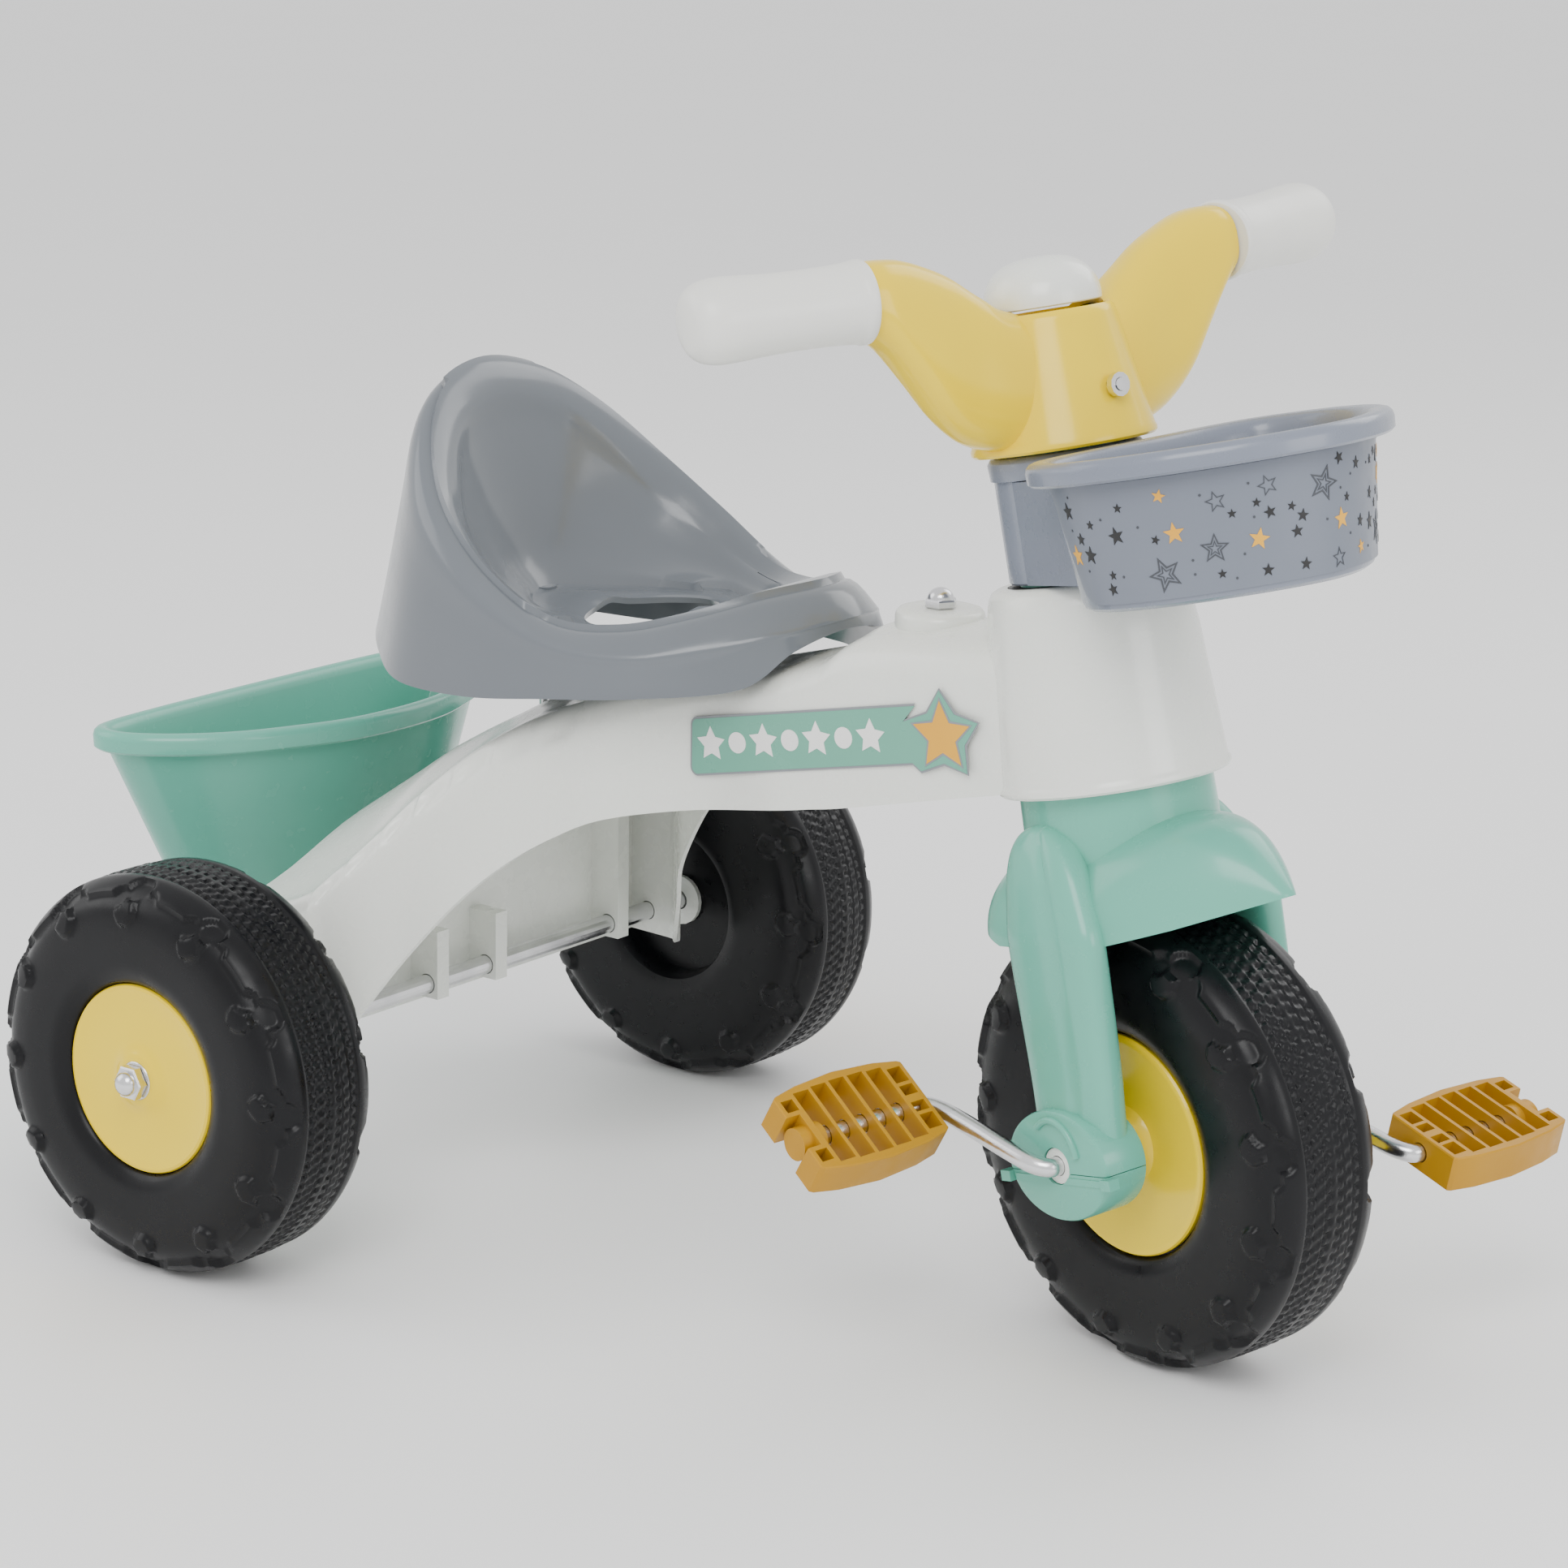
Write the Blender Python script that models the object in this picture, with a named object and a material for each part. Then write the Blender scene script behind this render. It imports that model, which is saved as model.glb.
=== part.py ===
"""A toddler's pedal tricycle, modelled as the separate pieces it is assembled from.

Metres, +Z up, +X forward, +Y to the rider's left.  The origin is under the middle
of the tricycle, on the ground.  At rest the handlebar is turned a little to the
rider's right.
"""
import math

import bmesh
import bpy
from mathutils import Matrix, Vector

# ---------------------------------------------------------------- driving dimensions
REAR_AXLE_X = -0.2152        # rear axle, from the origin
WHEELBASE = 0.4396
TRACK = 0.4090               # between the mid planes of the rear wheels
REAR_R = 0.1000
FRONT_R = 0.1094
TYRE_HALF = 0.0350           # half the width of a rear tyre
FRONT_TYRE_HALF = 0.0330
RAKE = math.radians(12.53)   # the steering axis leans back
STEER_REST = math.radians(-14.57)
CRANK_ARM = 0.0750
CRANK_ANGLE = math.radians(-23.0)
PEDAL_TILT = {"left": math.radians(-27.0), "right": math.radians(-46.0)}
PEDAL_IN = 0.0905            # inner face of a pedal, from the middle plane
PEDAL_LENGTH = 0.0760
ROD_R = 0.0045               # crank rod
AXLE_R = 0.0050              # rear axle
GAP = 0.0003                 # between faces that touch
WALL = 0.0035                # moulded wall
NECK_BORE = 0.0360
STEM_R = 0.0300              # steering tube
STEM_BORE = 0.0250
NECK_LOW, NECK_TOP = 0.1670, 0.2620      # along the steering axis, from the hub
SLEEVE_LOW, SLEEVE_TOP = 0.2635, 0.3220
BAR_LOW, BAR_TOP = 0.3230, 0.3850
GRIP_IN, GRIP_OUT = 0.1060, 0.1900
PIVOT_X, PIVOT_Z = -0.1000, 0.1140       # hinge of the rear bucket
CAP_BOLT_X = 0.3020                      # bolt through the beam, ahead of the seat

START_ANGLE = 0.05           # turns round pieces so that no corner lies on a seam

WHITE = (0.80, 0.81, 0.78)
MINT = (0.18, 0.48, 0.38)
YELLOW = (0.90, 0.69, 0.06)
SEAT_GREY = (0.22, 0.25, 0.29)
BASKET_GREY = (0.25, 0.28, 0.33)
BLACK = (0.020, 0.021, 0.026)
OCHRE = (0.55, 0.30, 0.04)
STEEL = (0.75, 0.75, 0.76)


# ---------------------------------------------------------------- tools
def material(name, rgb, roughness, metallic=0.0):
    found = bpy.data.materials.get(name)
    if found:
        return found
    made = bpy.data.materials.new(name)
    made.use_nodes = True
    shader = made.node_tree.nodes["Principled BSDF"]
    shader.inputs["Base Color"].default_value = (*rgb, 1.0)
    shader.inputs["Roughness"].default_value = roughness
    shader.inputs["Metallic"].default_value = metallic
    return made


def empty(name, location, rotation=(0, 0, 0), parent=None):
    made = bpy.data.objects.new(name, None)
    bpy.context.collection.objects.link(made)
    made.location = location
    made.rotation_euler = rotation
    made.parent = parent
    return made


def new_object(name, bm, mat=None, parent=None, smooth=35):
    """Close a bmesh into an object whose faces point out."""
    bmesh.ops.recalc_face_normals(bm, faces=bm.faces)
    mesh = bpy.data.meshes.new(name)
    bm.to_mesh(mesh)
    bm.free()
    made = bpy.data.objects.new(name, mesh)
    bpy.context.collection.objects.link(made)
    made.parent = parent
    if mat:
        mesh.materials.append(mat)
    mesh.shade_smooth()
    mesh.set_sharp_from_angle(angle=math.radians(smooth))
    return made


def tool(name, bm, parent=None):
    """A cutter, or a shape that a Boolean adds."""
    made = new_object(name, bm, None, parent)
    made.hide_render = True
    made.display_type = "WIRE"
    return made


def boolean(target, other, operation):
    step = target.modifiers.new(operation.lower() + "_" + other.name, "BOOLEAN")
    step.operation = operation
    step.object = other
    step.solver = "EXACT"


def cut(target, other):
    boolean(target, other, "DIFFERENCE")


def add(target, other):
    boolean(target, other, "UNION")


def loft(rings, closed=False):
    """A skin over equal rings of points: capped at both ends, or closed on itself."""
    bm = bmesh.new()
    rows = [[bm.verts.new(point) for point in ring] for ring in rings]
    count = len(rows[0])
    pairs = list(zip(rows, rows[1:]))
    if closed:
        pairs.append((rows[-1], rows[0]))
    for low, high in pairs:
        for i in range(count):
            j = (i + 1) % count
            bm.faces.new((low[i], low[j], high[j], high[i]))
    if not closed:
        bm.faces.new(rows[0])
        bm.faces.new(rows[-1])
    return bm


def turned(profile, segments=32, axis="Z", closed=True):
    """Turn (radius, height) points about an axis; an open profile starts and ends on it."""
    def place(radius, height, angle):
        angle += START_ANGLE
        across, along = radius * math.cos(angle), radius * math.sin(angle)
        return (across, along, height) if axis == "Z" else (across, height, along)

    bm = bmesh.new()
    columns = []
    for radius, height in profile:
        if radius == 0:
            columns.append([bm.verts.new(place(0, height, 0))])
        else:
            turn = [place(radius, height, 2 * math.pi * i / segments) for i in range(segments)]
            columns.append([bm.verts.new(point) for point in turn])
    pairs = list(zip(columns, columns[1:]))
    if closed:
        pairs.append((columns[-1], columns[0]))
    for a, b in pairs:
        for i in range(segments):
            j = (i + 1) % segments
            if len(a) == 1:
                bm.faces.new((a[0], b[i], b[j]))
            elif len(b) == 1:
                bm.faces.new((a[i], a[j], b[0]))
            else:
                bm.faces.new((a[i], a[j], b[j], b[i]))
    return bm


def ring_profile(inner, outer, low, high):
    return [(inner, low), (outer, low), (outer, high), (inner, high)]


def rod_profile(radius, low, high, chamfer=0.0):
    return [(0, low), (radius - chamfer, low), (radius, low + chamfer),
            (radius, high - chamfer), (radius - chamfer, high), (0, high)]


def box(low, high):
    bm = bmesh.new()
    centre = (Vector(low) + Vector(high)) / 2
    size = Vector(high) - Vector(low)
    matrix = Matrix.Translation(centre) @ Matrix.Diagonal((*size, 1.0))
    bmesh.ops.create_cube(bm, size=1.0, matrix=matrix)
    return bm


def boxes(pairs):
    bm = bmesh.new()
    for low, high in pairs:
        centre = (Vector(low) + Vector(high)) / 2
        size = Vector(high) - Vector(low)
        matrix = Matrix.Translation(centre) @ Matrix.Diagonal((*size, 1.0))
        bmesh.ops.create_cube(bm, size=1.0, matrix=matrix)
    return bm


def rod(radius, start, end, segments=16):
    """A plain cylinder between two points."""
    bm = bmesh.new()
    start, end = Vector(start), Vector(end)
    along = end - start
    turn = along.to_track_quat("Z", "Y").to_matrix().to_4x4()
    matrix = Matrix.Translation((start + end) / 2) @ turn
    bmesh.ops.create_cone(bm, cap_ends=True, segments=segments, radius1=radius,
                          radius2=radius, depth=along.length, matrix=matrix)
    return bm


def smooth_closed(points, steps):
    """A closed Catmull-Rom curve through the points, as a list of Vectors."""
    points = [Vector(point) for point in points]
    count = len(points)
    out = []
    for i in range(count):
        a, b, c, d = (points[(i + k) % count] for k in (-1, 0, 1, 2))
        for step in range(steps):
            t = step / steps
            out.append(0.5 * (2 * b + (c - a) * t + (2 * a - 5 * b + 4 * c - d) * t * t
                              + (3 * b - a - 3 * c + d) * t ** 3))
    return out


def smooth_open(points, steps):
    """A Catmull-Rom curve through the points, its ends included."""
    points = [Vector(point) for point in points]
    padded = [2 * points[0] - points[1], *points, 2 * points[-1] - points[-2]]
    out = []
    for i in range(len(points) - 1):
        a, b, c, d = padded[i:i + 4]
        for step in range(steps):
            t = step / steps
            out.append(0.5 * (2 * b + (c - a) * t + (2 * a - 5 * b + 4 * c - d) * t * t
                              + (3 * b - a - 3 * c + d) * t ** 3))
    out.append(points[-1])
    return out


def mirrored(half):
    """Complete half an outline, from y=0 round to y=0, with its other side."""
    return half + [(x, -y) for x, y in reversed(half[1:-1])]


def oval(cx, cy, hx, hy, count, power=2.0):
    """A superellipse as (x, y) pairs."""
    out = []
    for i in range(count):
        angle = 2 * math.pi * i / count
        c, s = math.cos(angle), math.sin(angle)
        out.append((cx + hx * math.copysign(abs(c) ** (2 / power), c),
                    cy + hy * math.copysign(abs(s) ** (2 / power), s)))
    return out


def inset(outline, distance):
    """Move a closed (x, y) outline inwards by a distance."""
    count = len(outline)
    area = sum(outline[i][0] * outline[(i + 1) % count][1]
               - outline[(i + 1) % count][0] * outline[i][1] for i in range(count))
    side = 1 if area > 0 else -1
    out = []
    for i in range(count):
        before, after = Vector(outline[i - 1]), Vector(outline[(i + 1) % count])
        tangent = (after - before).normalized()
        out.append((outline[i][0] - side * tangent.y * distance,
                    outline[i][1] + side * tangent.x * distance))
    return out


def sweep(points, radius, sides=12):
    """A round rod along a path."""
    points = [Vector(point) for point in points]
    rings = []
    normal = None
    for i, point in enumerate(points):
        ahead = points[min(i + 1, len(points) - 1)] - points[max(i - 1, 0)]
        ahead.normalize()
        if normal is None:
            normal = ahead.orthogonal().normalized()
        normal = (normal - ahead * normal.dot(ahead)).normalized()
        other = ahead.cross(normal)
        turns = [2 * math.pi * k / sides for k in range(sides)]
        rings.append([point + radius * (math.cos(a) * normal + math.sin(a) * other)
                      for a in turns])
    return loft(rings)


def star(cx, cz, outer, inner, points=5, turn=0.0):
    """Corners of a star as (x, z) pairs."""
    out = []
    for i in range(2 * points):
        radius = outer if i % 2 == 0 else inner
        angle = math.pi / 2 + turn + math.pi * i / points
        out.append((cx + radius * math.cos(angle), cz + radius * math.sin(angle)))
    return out


# ---------------------------------------------------------------- frame
# Stations along the frame: x, half width, bottom edge, top of the side wall,
# ridge beside the deck, and the deck's middle.
FRAME_STATIONS = [
    (0.3700, 0.0400, 0.2670, 0.3250, 0.3330, 0.3350),
    (0.3300, 0.0440, 0.2580, 0.3220, 0.3330, 0.3360),
    (0.2800, 0.0450, 0.2460, 0.3150, 0.3260, 0.3300),
    (0.2600, 0.0450, 0.2420, 0.3050, 0.3140, 0.3170),
    (0.2400, 0.0450, 0.2380, 0.2980, 0.3070, 0.3100),
    (0.1870, 0.0450, 0.2290, 0.2850, 0.2930, 0.2960),
    (0.1500, 0.0660, 0.2220, 0.2720, 0.2850, 0.2890),
    (0.1250, 0.0750, 0.2100, 0.2620, 0.2750, 0.2800),
    (0.1020, 0.0850, 0.1940, 0.2500, 0.2640, 0.2750),
    (0.0810, 0.0970, 0.1730, 0.2360, 0.2490, 0.2660),
    (0.0600, 0.1100, 0.1450, 0.2160, 0.2280, 0.2550),
    (0.0465, 0.1250, 0.1200, 0.1980, 0.2090, 0.2480),
    (0.0320, 0.1400, 0.0930, 0.1800, 0.1900, 0.2400),
    (0.0200, 0.1550, 0.0880, 0.1660, 0.1770, 0.2320),
    (-0.0180, 0.1580, 0.0880, 0.1580, 0.1680, 0.2040),
]
RIDGE_IN = 0.018             # the ridge lies this far inside the side wall


def frame_ring(station, wall=0.0, drop=0.0):
    x, half, low, shoulder, ridge, crown = station
    half -= wall
    shoulder -= 0.6 * wall
    ridge -= wall
    crown -= wall
    low -= drop
    edge = half - RIDGE_IN
    between = (0.55 * edge, ridge + 0.62 * (crown - ridge))
    side = [(half, low), (half, shoulder), (half - 0.3 * RIDGE_IN, shoulder + 0.7 * (ridge - shoulder)),
            (edge, ridge), between]
    left = [Vector((x, y, z)) for y, z in side]
    right = [Vector((x, -y, z)) for y, z in reversed(side)]
    return left + [Vector((x, 0, crown))] + right


def frame_shell(parent, steering, mat):
    shell = new_object("frame_shell", loft([frame_ring(s) for s in FRAME_STATIONS]), mat, parent)
    hollow = [s for s in FRAME_STATIONS if s[0] < 0.34]
    hollow[0] = (0.3240, *hollow[0][1:])
    last = hollow[-1]
    hollow[-1] = (last[0] + WALL, *last[1:])
    inside = [frame_ring(s, WALL, 0.05) for s in hollow]
    cut(shell, tool("frame_hollow", loft(inside), parent))

    neck = [(0, NECK_LOW), (0.0535, NECK_LOW), (0.0545, NECK_LOW + 0.002),
            (0.0525, NECK_LOW + 0.008), (0.0460, NECK_TOP - 0.008),
            (0.0440, NECK_TOP - 0.002), (0.0415, NECK_TOP), (0, NECK_TOP)]
    add(shell, tool("neck_outside", turned(neck, 32, closed=False), steering))
    ribs = [((-0.0165, y - 0.0015, 0.0890), (0.0100, y + 0.0015, 0.1800))
            for y in (-0.125, -0.0375, 0.0, 0.0375, 0.125)]
    add(shell, tool("axle_ribs", boxes(ribs), parent))
    tongue = [((-0.1140, -0.0520, 0.0900), (-0.0155, 0.0520, 0.0950))]
    add(shell, tool("bucket_tongue", boxes(tongue), parent))
    lugs = [((PIVOT_X - 0.012, side * 0.043 - 0.003, 0.0920),
             (PIVOT_X + 0.012, side * 0.043 + 0.003, PIVOT_Z + 0.011)) for side in (-1, 1)]
    add(shell, tool("bucket_brackets", boxes(lugs), parent))
    pad = [(0, 0.3225), (0.0200, 0.3225), (0.0200, 0.3360), (0.0185, 0.3390), (0, 0.3390)]
    pad_tool = tool("bolt_pad", turned(pad, 24, closed=False), parent)
    pad_tool.location = (CAP_BOLT_X, 0, 0)
    add(shell, pad_tool)
    for x in SEAT_SCREW_X:
        post = rod(0.0085, (x, 0, SEAT_PAD[x] - 0.0200), (x, 0, SEAT_PAD[x]))
        add(shell, tool("seat_pad", post, parent))
    cut(shell, tool("axle_bore", rod(AXLE_R + GAP, (0, -0.2, REAR_R), (0, 0.2, REAR_R)), parent))
    cut(shell, tool("pivot_bore", rod(0.0043, (PIVOT_X, -0.06, PIVOT_Z), (PIVOT_X, 0.06, PIVOT_Z)),
                    parent))
    bolt_hole = rod(0.0035, (CAP_BOLT_X, 0, 0.30), (CAP_BOLT_X, 0, 0.36))
    cut(shell, tool("cap_bolt_hole", bolt_hole, parent))
    for x in SEAT_SCREW_X:
        cut(shell, tool("seat_screw_hole", rod(0.0026, (x, 0, 0.22), (x, 0, 0.33), 12), parent))
    bore = rod_profile(NECK_BORE, NECK_LOW - 0.01, NECK_TOP + 0.01)
    cut(shell, tool("neck_bore", turned(bore, 28, closed=False), steering))
    return shell


# ---------------------------------------------------------------- seat
SEAT_SCREW_X = (0.0560, 0.2050)
SEAT_PAD = {0.0560: 0.2610, 0.2050: 0.3055}       # top of each pad on the frame's deck
# Spokes of the seat from the front (0) round to the back (180 degrees).  Each holds
# (x, y, z) at the skirt's hem, the outer crease, the crest, inside it, and the floor.
SEAT_SPOKES = [
    [(0.247, 0, 0.3205), (0.251, 0, 0.3285), (0.238, 0, 0.3400), (0.218, 0, 0.3365), (0.192, 0, 0.3200)],
    [(0.243, 0.036, 0.3145), (0.237, 0.037, 0.3245), (0.224, 0.034, 0.3365), (0.206, 0.031, 0.3320),
     (0.182, 0.020, 0.3180)],
    [(0.226, 0.056, 0.2970), (0.211, 0.064, 0.3180), (0.200, 0.058, 0.3280), (0.186, 0.050, 0.3225),
     (0.170, 0.032, 0.3150)],
    [(0.184, 0.085, 0.2910), (0.179, 0.086, 0.3120), (0.170, 0.078, 0.3205), (0.160, 0.068, 0.3165),
     (0.152, 0.045, 0.3135)],
    [(0.142, 0.101, 0.2875), (0.141, 0.100, 0.3160), (0.136, 0.091, 0.3225), (0.132, 0.081, 0.3175),
     (0.130, 0.050, 0.3130)],
    [(0.096, 0.106, 0.2825), (0.098, 0.103, 0.3360), (0.098, 0.095, 0.3430), (0.099, 0.085, 0.3330),
     (0.106, 0.050, 0.3130)],
    [(0.046, 0.098, 0.2810), (0.060, 0.094, 0.3620), (0.064, 0.086, 0.3690), (0.067, 0.076, 0.3570),
     (0.084, 0.041, 0.3135)],
    [(0.010, 0.073, 0.2860), (0.032, 0.072, 0.3900), (0.039, 0.066, 0.3960), (0.044, 0.057, 0.3860),
     (0.068, 0.028, 0.3145)],
    [(-0.022, 0.039, 0.2910), (0.014, 0.041, 0.4100), (0.022, 0.038, 0.4160), (0.030, 0.033, 0.4050),
     (0.057, 0.015, 0.3160)],
    [(-0.040, 0, 0.2930), (0.008, 0, 0.4200), (0.017, 0, 0.4240), (0.026, 0, 0.4130),
     (0.053, 0, 0.3170)],
]
SLOT_HALF = [(0.156, 0), (0.1535, 0.018), (0.1445, 0.034), (0.128, 0.042), (0.1115, 0.034),
             (0.1025, 0.018), (0.100, 0)]
SLOT_X = 0.1280


def reach(outline, centre, toward):
    """Where the way from the centre towards a point crosses an outline."""
    heading = (toward - centre).xy
    for a, b in zip(outline, outline[1:] + outline[:1]):
        start, side = (a - centre).xy, (b - a).xy
        turn = heading.x * side.y - heading.y * side.x
        if abs(turn) < 1e-12:
            continue
        along = (start.x * side.y - start.y * side.x) / turn
        share = (start.x * heading.y - start.y * heading.x) / turn
        if along > 0 and -1e-9 <= share <= 1 + 1e-9:
            return centre.xy + heading * along
    return toward.xy


def seat_rings(spokes, slot, steps, wall):
    """Rings of the seat from the slot over the crest to the hem and back underneath."""
    around = spokes + [[(x, -y, z) for x, y, z in spoke] for spoke in reversed(spokes[1:-1])]
    levels = list(zip(*around))
    hem, crease, crest, inside, floor = [smooth_closed(level, steps) for level in levels]
    slot_points = smooth_closed([(x, y, 0) for x, y in mirrored(slot)], 8)
    top_slot = []
    centre = Vector((SLOT_X, 0, 0))
    for point in floor:
        edge = reach(slot_points, centre, point)
        top_slot.append(Vector((edge.x, edge.y, point.z - 0.0015)))
    hem_in = [p + (centre - p).xy.normalized().to_3d() * wall for p in hem]
    crease_in = [p + (centre - p).xy.normalized().to_3d() * wall - Vector((0, 0, 0.5 * wall))
                 for p in crease]
    crest_in = [(a + b) / 2 - Vector((0, 0, wall)) for a, b in zip(crease, inside)]
    under = [p + (p - centre).xy.normalized().to_3d() * 0.7 * wall - Vector((0, 0, 0.8 * wall))
             for p in inside]
    floor_low = [p - Vector((0, 0, wall)) for p in floor]
    slot_low = [p - Vector((0, 0, wall)) for p in top_slot]
    return [top_slot, floor, inside, crest, crease, hem, hem_in, crease_in, crest_in, under,
            floor_low, slot_low]


def seat(parent, mat):
    rings = seat_rings(SEAT_SPOKES, SLOT_HALF, 2, 0.0032)
    shell = new_object("seat", loft(rings, closed=True), mat, parent, smooth=50)
    for x in SEAT_SCREW_X:
        top = 0.3155 if x < 0.1 else 0.3240
        post = rod(0.0070, (x, 0, SEAT_PAD[x] + GAP), (x, 0, top), 16)
        add(shell, tool("seat_post", post, parent))
        cut(shell, tool("seat_post_hole", rod(0.0026, (x, 0, 0.22), (x, 0, top - 0.005), 12), parent))
    return shell


def screw(name, parent, mat, place, head_low, tip, shaft_r=0.0022, head_r=0.0050):
    """A pan-head screw, driven upwards."""
    head_top = head_low + 0.0030
    profile = [(0, head_low), (0.6 * head_r, head_low), (head_r, head_low + 0.0015),
               (head_r, head_top), (shaft_r, head_top), (shaft_r, tip - 0.001), (0, tip)]
    made = new_object(name, turned(profile, 12, closed=False), mat, parent)
    made.location = place
    return made


# ---------------------------------------------------------------- rear bucket
BUCKET_RIM = [(-0.0400, 0), (-0.0430, 0.0350), (-0.0530, 0.0650), (-0.0660, 0.0930),
              (-0.0850, 0.1170), (-0.1080, 0.1340), (-0.1270, 0.1360), (-0.1390, 0.1240),
              (-0.1430, 0.0800), (-0.1440, 0)]
BUCKET_FOOT = [(-0.0680, 0), (-0.0690, 0.0260), (-0.0740, 0.0480), (-0.0820, 0.0660),
               (-0.0920, 0.0790), (-0.1050, 0.0870), (-0.1170, 0.0870), (-0.1250, 0.0790),
               (-0.1280, 0.0520), (-0.1280, 0)]
BUCKET_TOP, BUCKET_LOW = 0.2360, 0.1310
BUCKET_LIP = 0.0070


def bucket(parent, mat):
    """The bucket, in coordinates of its hinge."""
    rim, foot = [[(p.x, p.y) for p in smooth_closed([(x, y, 0) for x, y in mirrored(half)], 2)]
                 for half in (BUCKET_RIM, BUCKET_FOOT)]
    levels = [
        (inset(foot, 0.0050), BUCKET_LOW),
        (foot, BUCKET_LOW + 0.005),
        (inset(rim, BUCKET_LIP), BUCKET_TOP - 0.0100),
        (rim, BUCKET_TOP - 0.0110),
        (rim, BUCKET_TOP - 0.0030),
        (inset(rim, 0.0025), BUCKET_TOP),
        (inset(rim, BUCKET_LIP), BUCKET_TOP),
        (inset(rim, BUCKET_LIP + 0.0030), BUCKET_TOP - 0.0030),
        (inset(foot, 0.0030), BUCKET_LOW + 0.0060),
        (inset(foot, 0.0075), BUCKET_LOW + 0.0030),
    ]
    rings = [[Vector((x - PIVOT_X, y, z - PIVOT_Z)) for x, y in outline] for outline, z in levels]
    shell = new_object("rear_bucket", loft(rings), mat, parent)
    lugs = [((-0.009, side * 0.036 - 0.003, -0.0080), (0.009, side * 0.036 + 0.003, 0.0180))
            for side in (-1, 1)]
    add(shell, tool("bucket_lugs", boxes(lugs), parent))
    cut(shell, tool("bucket_lug_bore", rod(0.0043, (0, -0.06, 0), (0, 0.06, 0)), parent))
    return shell


# ---------------------------------------------------------------- wheels
def tyre_half(radius, half, recess_r, web, bore, wall):
    """One half of a tyre's section, from its bore out to the tread: skin, then inside."""
    skin = [(bore, web), (recess_r, web), (recess_r + 0.0010, web + 0.0050), (recess_r + 0.0090, half),
            (radius - 0.0240, half + 0.0004), (radius - 0.0095, half - 0.0015),
            (radius - 0.0015, 0.0190), (radius, 0.0100)]
    inside = [(bore, web - wall), (recess_r + wall, web - wall), (recess_r + 0.0120, half - wall),
              (radius - 0.0095 - wall, half - 0.0015 - wall), (radius - 0.0020 - wall, 0.0170)]
    return skin, inside


def tyre_profile(radius, half, left, right, bore, wall=0.0030):
    """Section of a hollow blow-moulded tyre, open at its bore; each side has its recess."""
    left_skin, left_inside = tyre_half(radius, half, *left, bore, wall)
    right_skin, right_inside = tyre_half(radius, half, *right, bore, wall)
    other = [(r, -h) for r, h in reversed(right_skin)]
    return left_skin + other + [(r, -h) for r, h in right_inside] + left_inside[::-1]


def flip(profile, side):
    return [(radius, side * height) for radius, height in profile]


def rear_wheel(side, parent, rubber, yellow, plain):
    name = "left" if side > 0 else "right"
    profile = tyre_profile(REAR_R, TYRE_HALF, (0.0475, 0.0275), (0.0400, 0.0200), 0.0095)
    new_object("rear_tyre_" + name, turned(flip(profile, side), 32, "Y"), rubber, parent)
    disc = [(0.0057, 0.0310), (0.0057, 0.0278), (0.0465, 0.0278), (0.0470, 0.0292),
            (0.0450, 0.0305), (0.0180, 0.0298), (0.0120, 0.0316)]
    new_object("rear_disc_" + name, turned(flip(disc, side), 28, "Y"), yellow, parent)
    bush = [(0.0056, -0.0230), (0.0140, -0.0230), (0.0140, -0.0203), (0.0092, -0.0203),
            (0.0092, 0.0272), (0.0056, 0.0272)]
    new_object("rear_hub_bush_" + name, turned(flip(bush, side), 20, "Y"), plain, parent)


def front_wheel(parent, rubber, yellow, plain):
    recess = (0.0540, 0.0255)
    profile = tyre_profile(FRONT_R, FRONT_TYRE_HALF, recess, recess, 0.0095)
    new_object("front_tyre", turned(profile, 36, "Y"), rubber, parent)
    for side, name in ((1, "left"), (-1, "right")):
        disc = [(0.0100, 0.0330), (0.0100, 0.0258), (0.0525, 0.0258), (0.0530, 0.0275),
                (0.0505, 0.0290), (0.0200, 0.0275), (0.0150, 0.0330), (0.0115, 0.0335)]
        new_object("front_disc_" + name, turned(flip(disc, side), 28, "Y"), yellow, parent)
    hub = ring_profile(ROD_R + GAP, 0.0090, -0.0400, 0.0400)
    new_object("front_hub", turned(hub, 20, "Y"), plain, parent)


def axle_fasteners(side, parent, steel):
    name = "left" if side > 0 else "right"
    out = TRACK / 2
    washer = [(r, side * (out + h)) for r, h in ring_profile(0.0053, 0.0095, 0.0325, 0.0337)]
    made = new_object("axle_washer_" + name, turned(washer, 20, "Y"), steel, parent)
    made.location = (0, 0, REAR_R)
    base, tip = out + 0.0340, out + 0.0455
    nut = [(0.0053, base), (0.0080, base), (0.0080, base + 0.0040), (0.0072, base + 0.0050),
           (0.0066, base + 0.0080), (0.0040, tip - 0.0008), (0, tip), (0, tip - 0.0030),
           (0.0053, tip - 0.0045)]
    made = new_object("axle_nut_" + name, nut_body(nut, side), steel, parent, smooth=25)
    made.location = (0, 0, REAR_R)


def nut_body(profile, side):
    """A domed nut with a blind hole: the profile starts and ends on the hole's rim."""
    bm = bmesh.new()
    segments = 18
    rows = []
    for radius, height in profile:
        if radius == 0:
            rows.append([bm.verts.new((0, side * height, 0))])
            continue
        rows.append([bm.verts.new((radius * math.cos(2 * math.pi * i / segments), side * height,
                                   radius * math.sin(2 * math.pi * i / segments)))
                     for i in range(segments)])
    for a, b in zip(rows, rows[1:] + rows[:1]):
        if len(a) == 1 and len(b) == 1:
            continue
        for i in range(segments):
            j = (i + 1) % segments
            if len(a) == 1:
                bm.faces.new((a[0], b[i], b[j]))
            elif len(b) == 1:
                bm.faces.new((a[i], a[j], b[0]))
            else:
                bm.faces.new((a[i], a[j], b[j], b[i]))
    return bm


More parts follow.
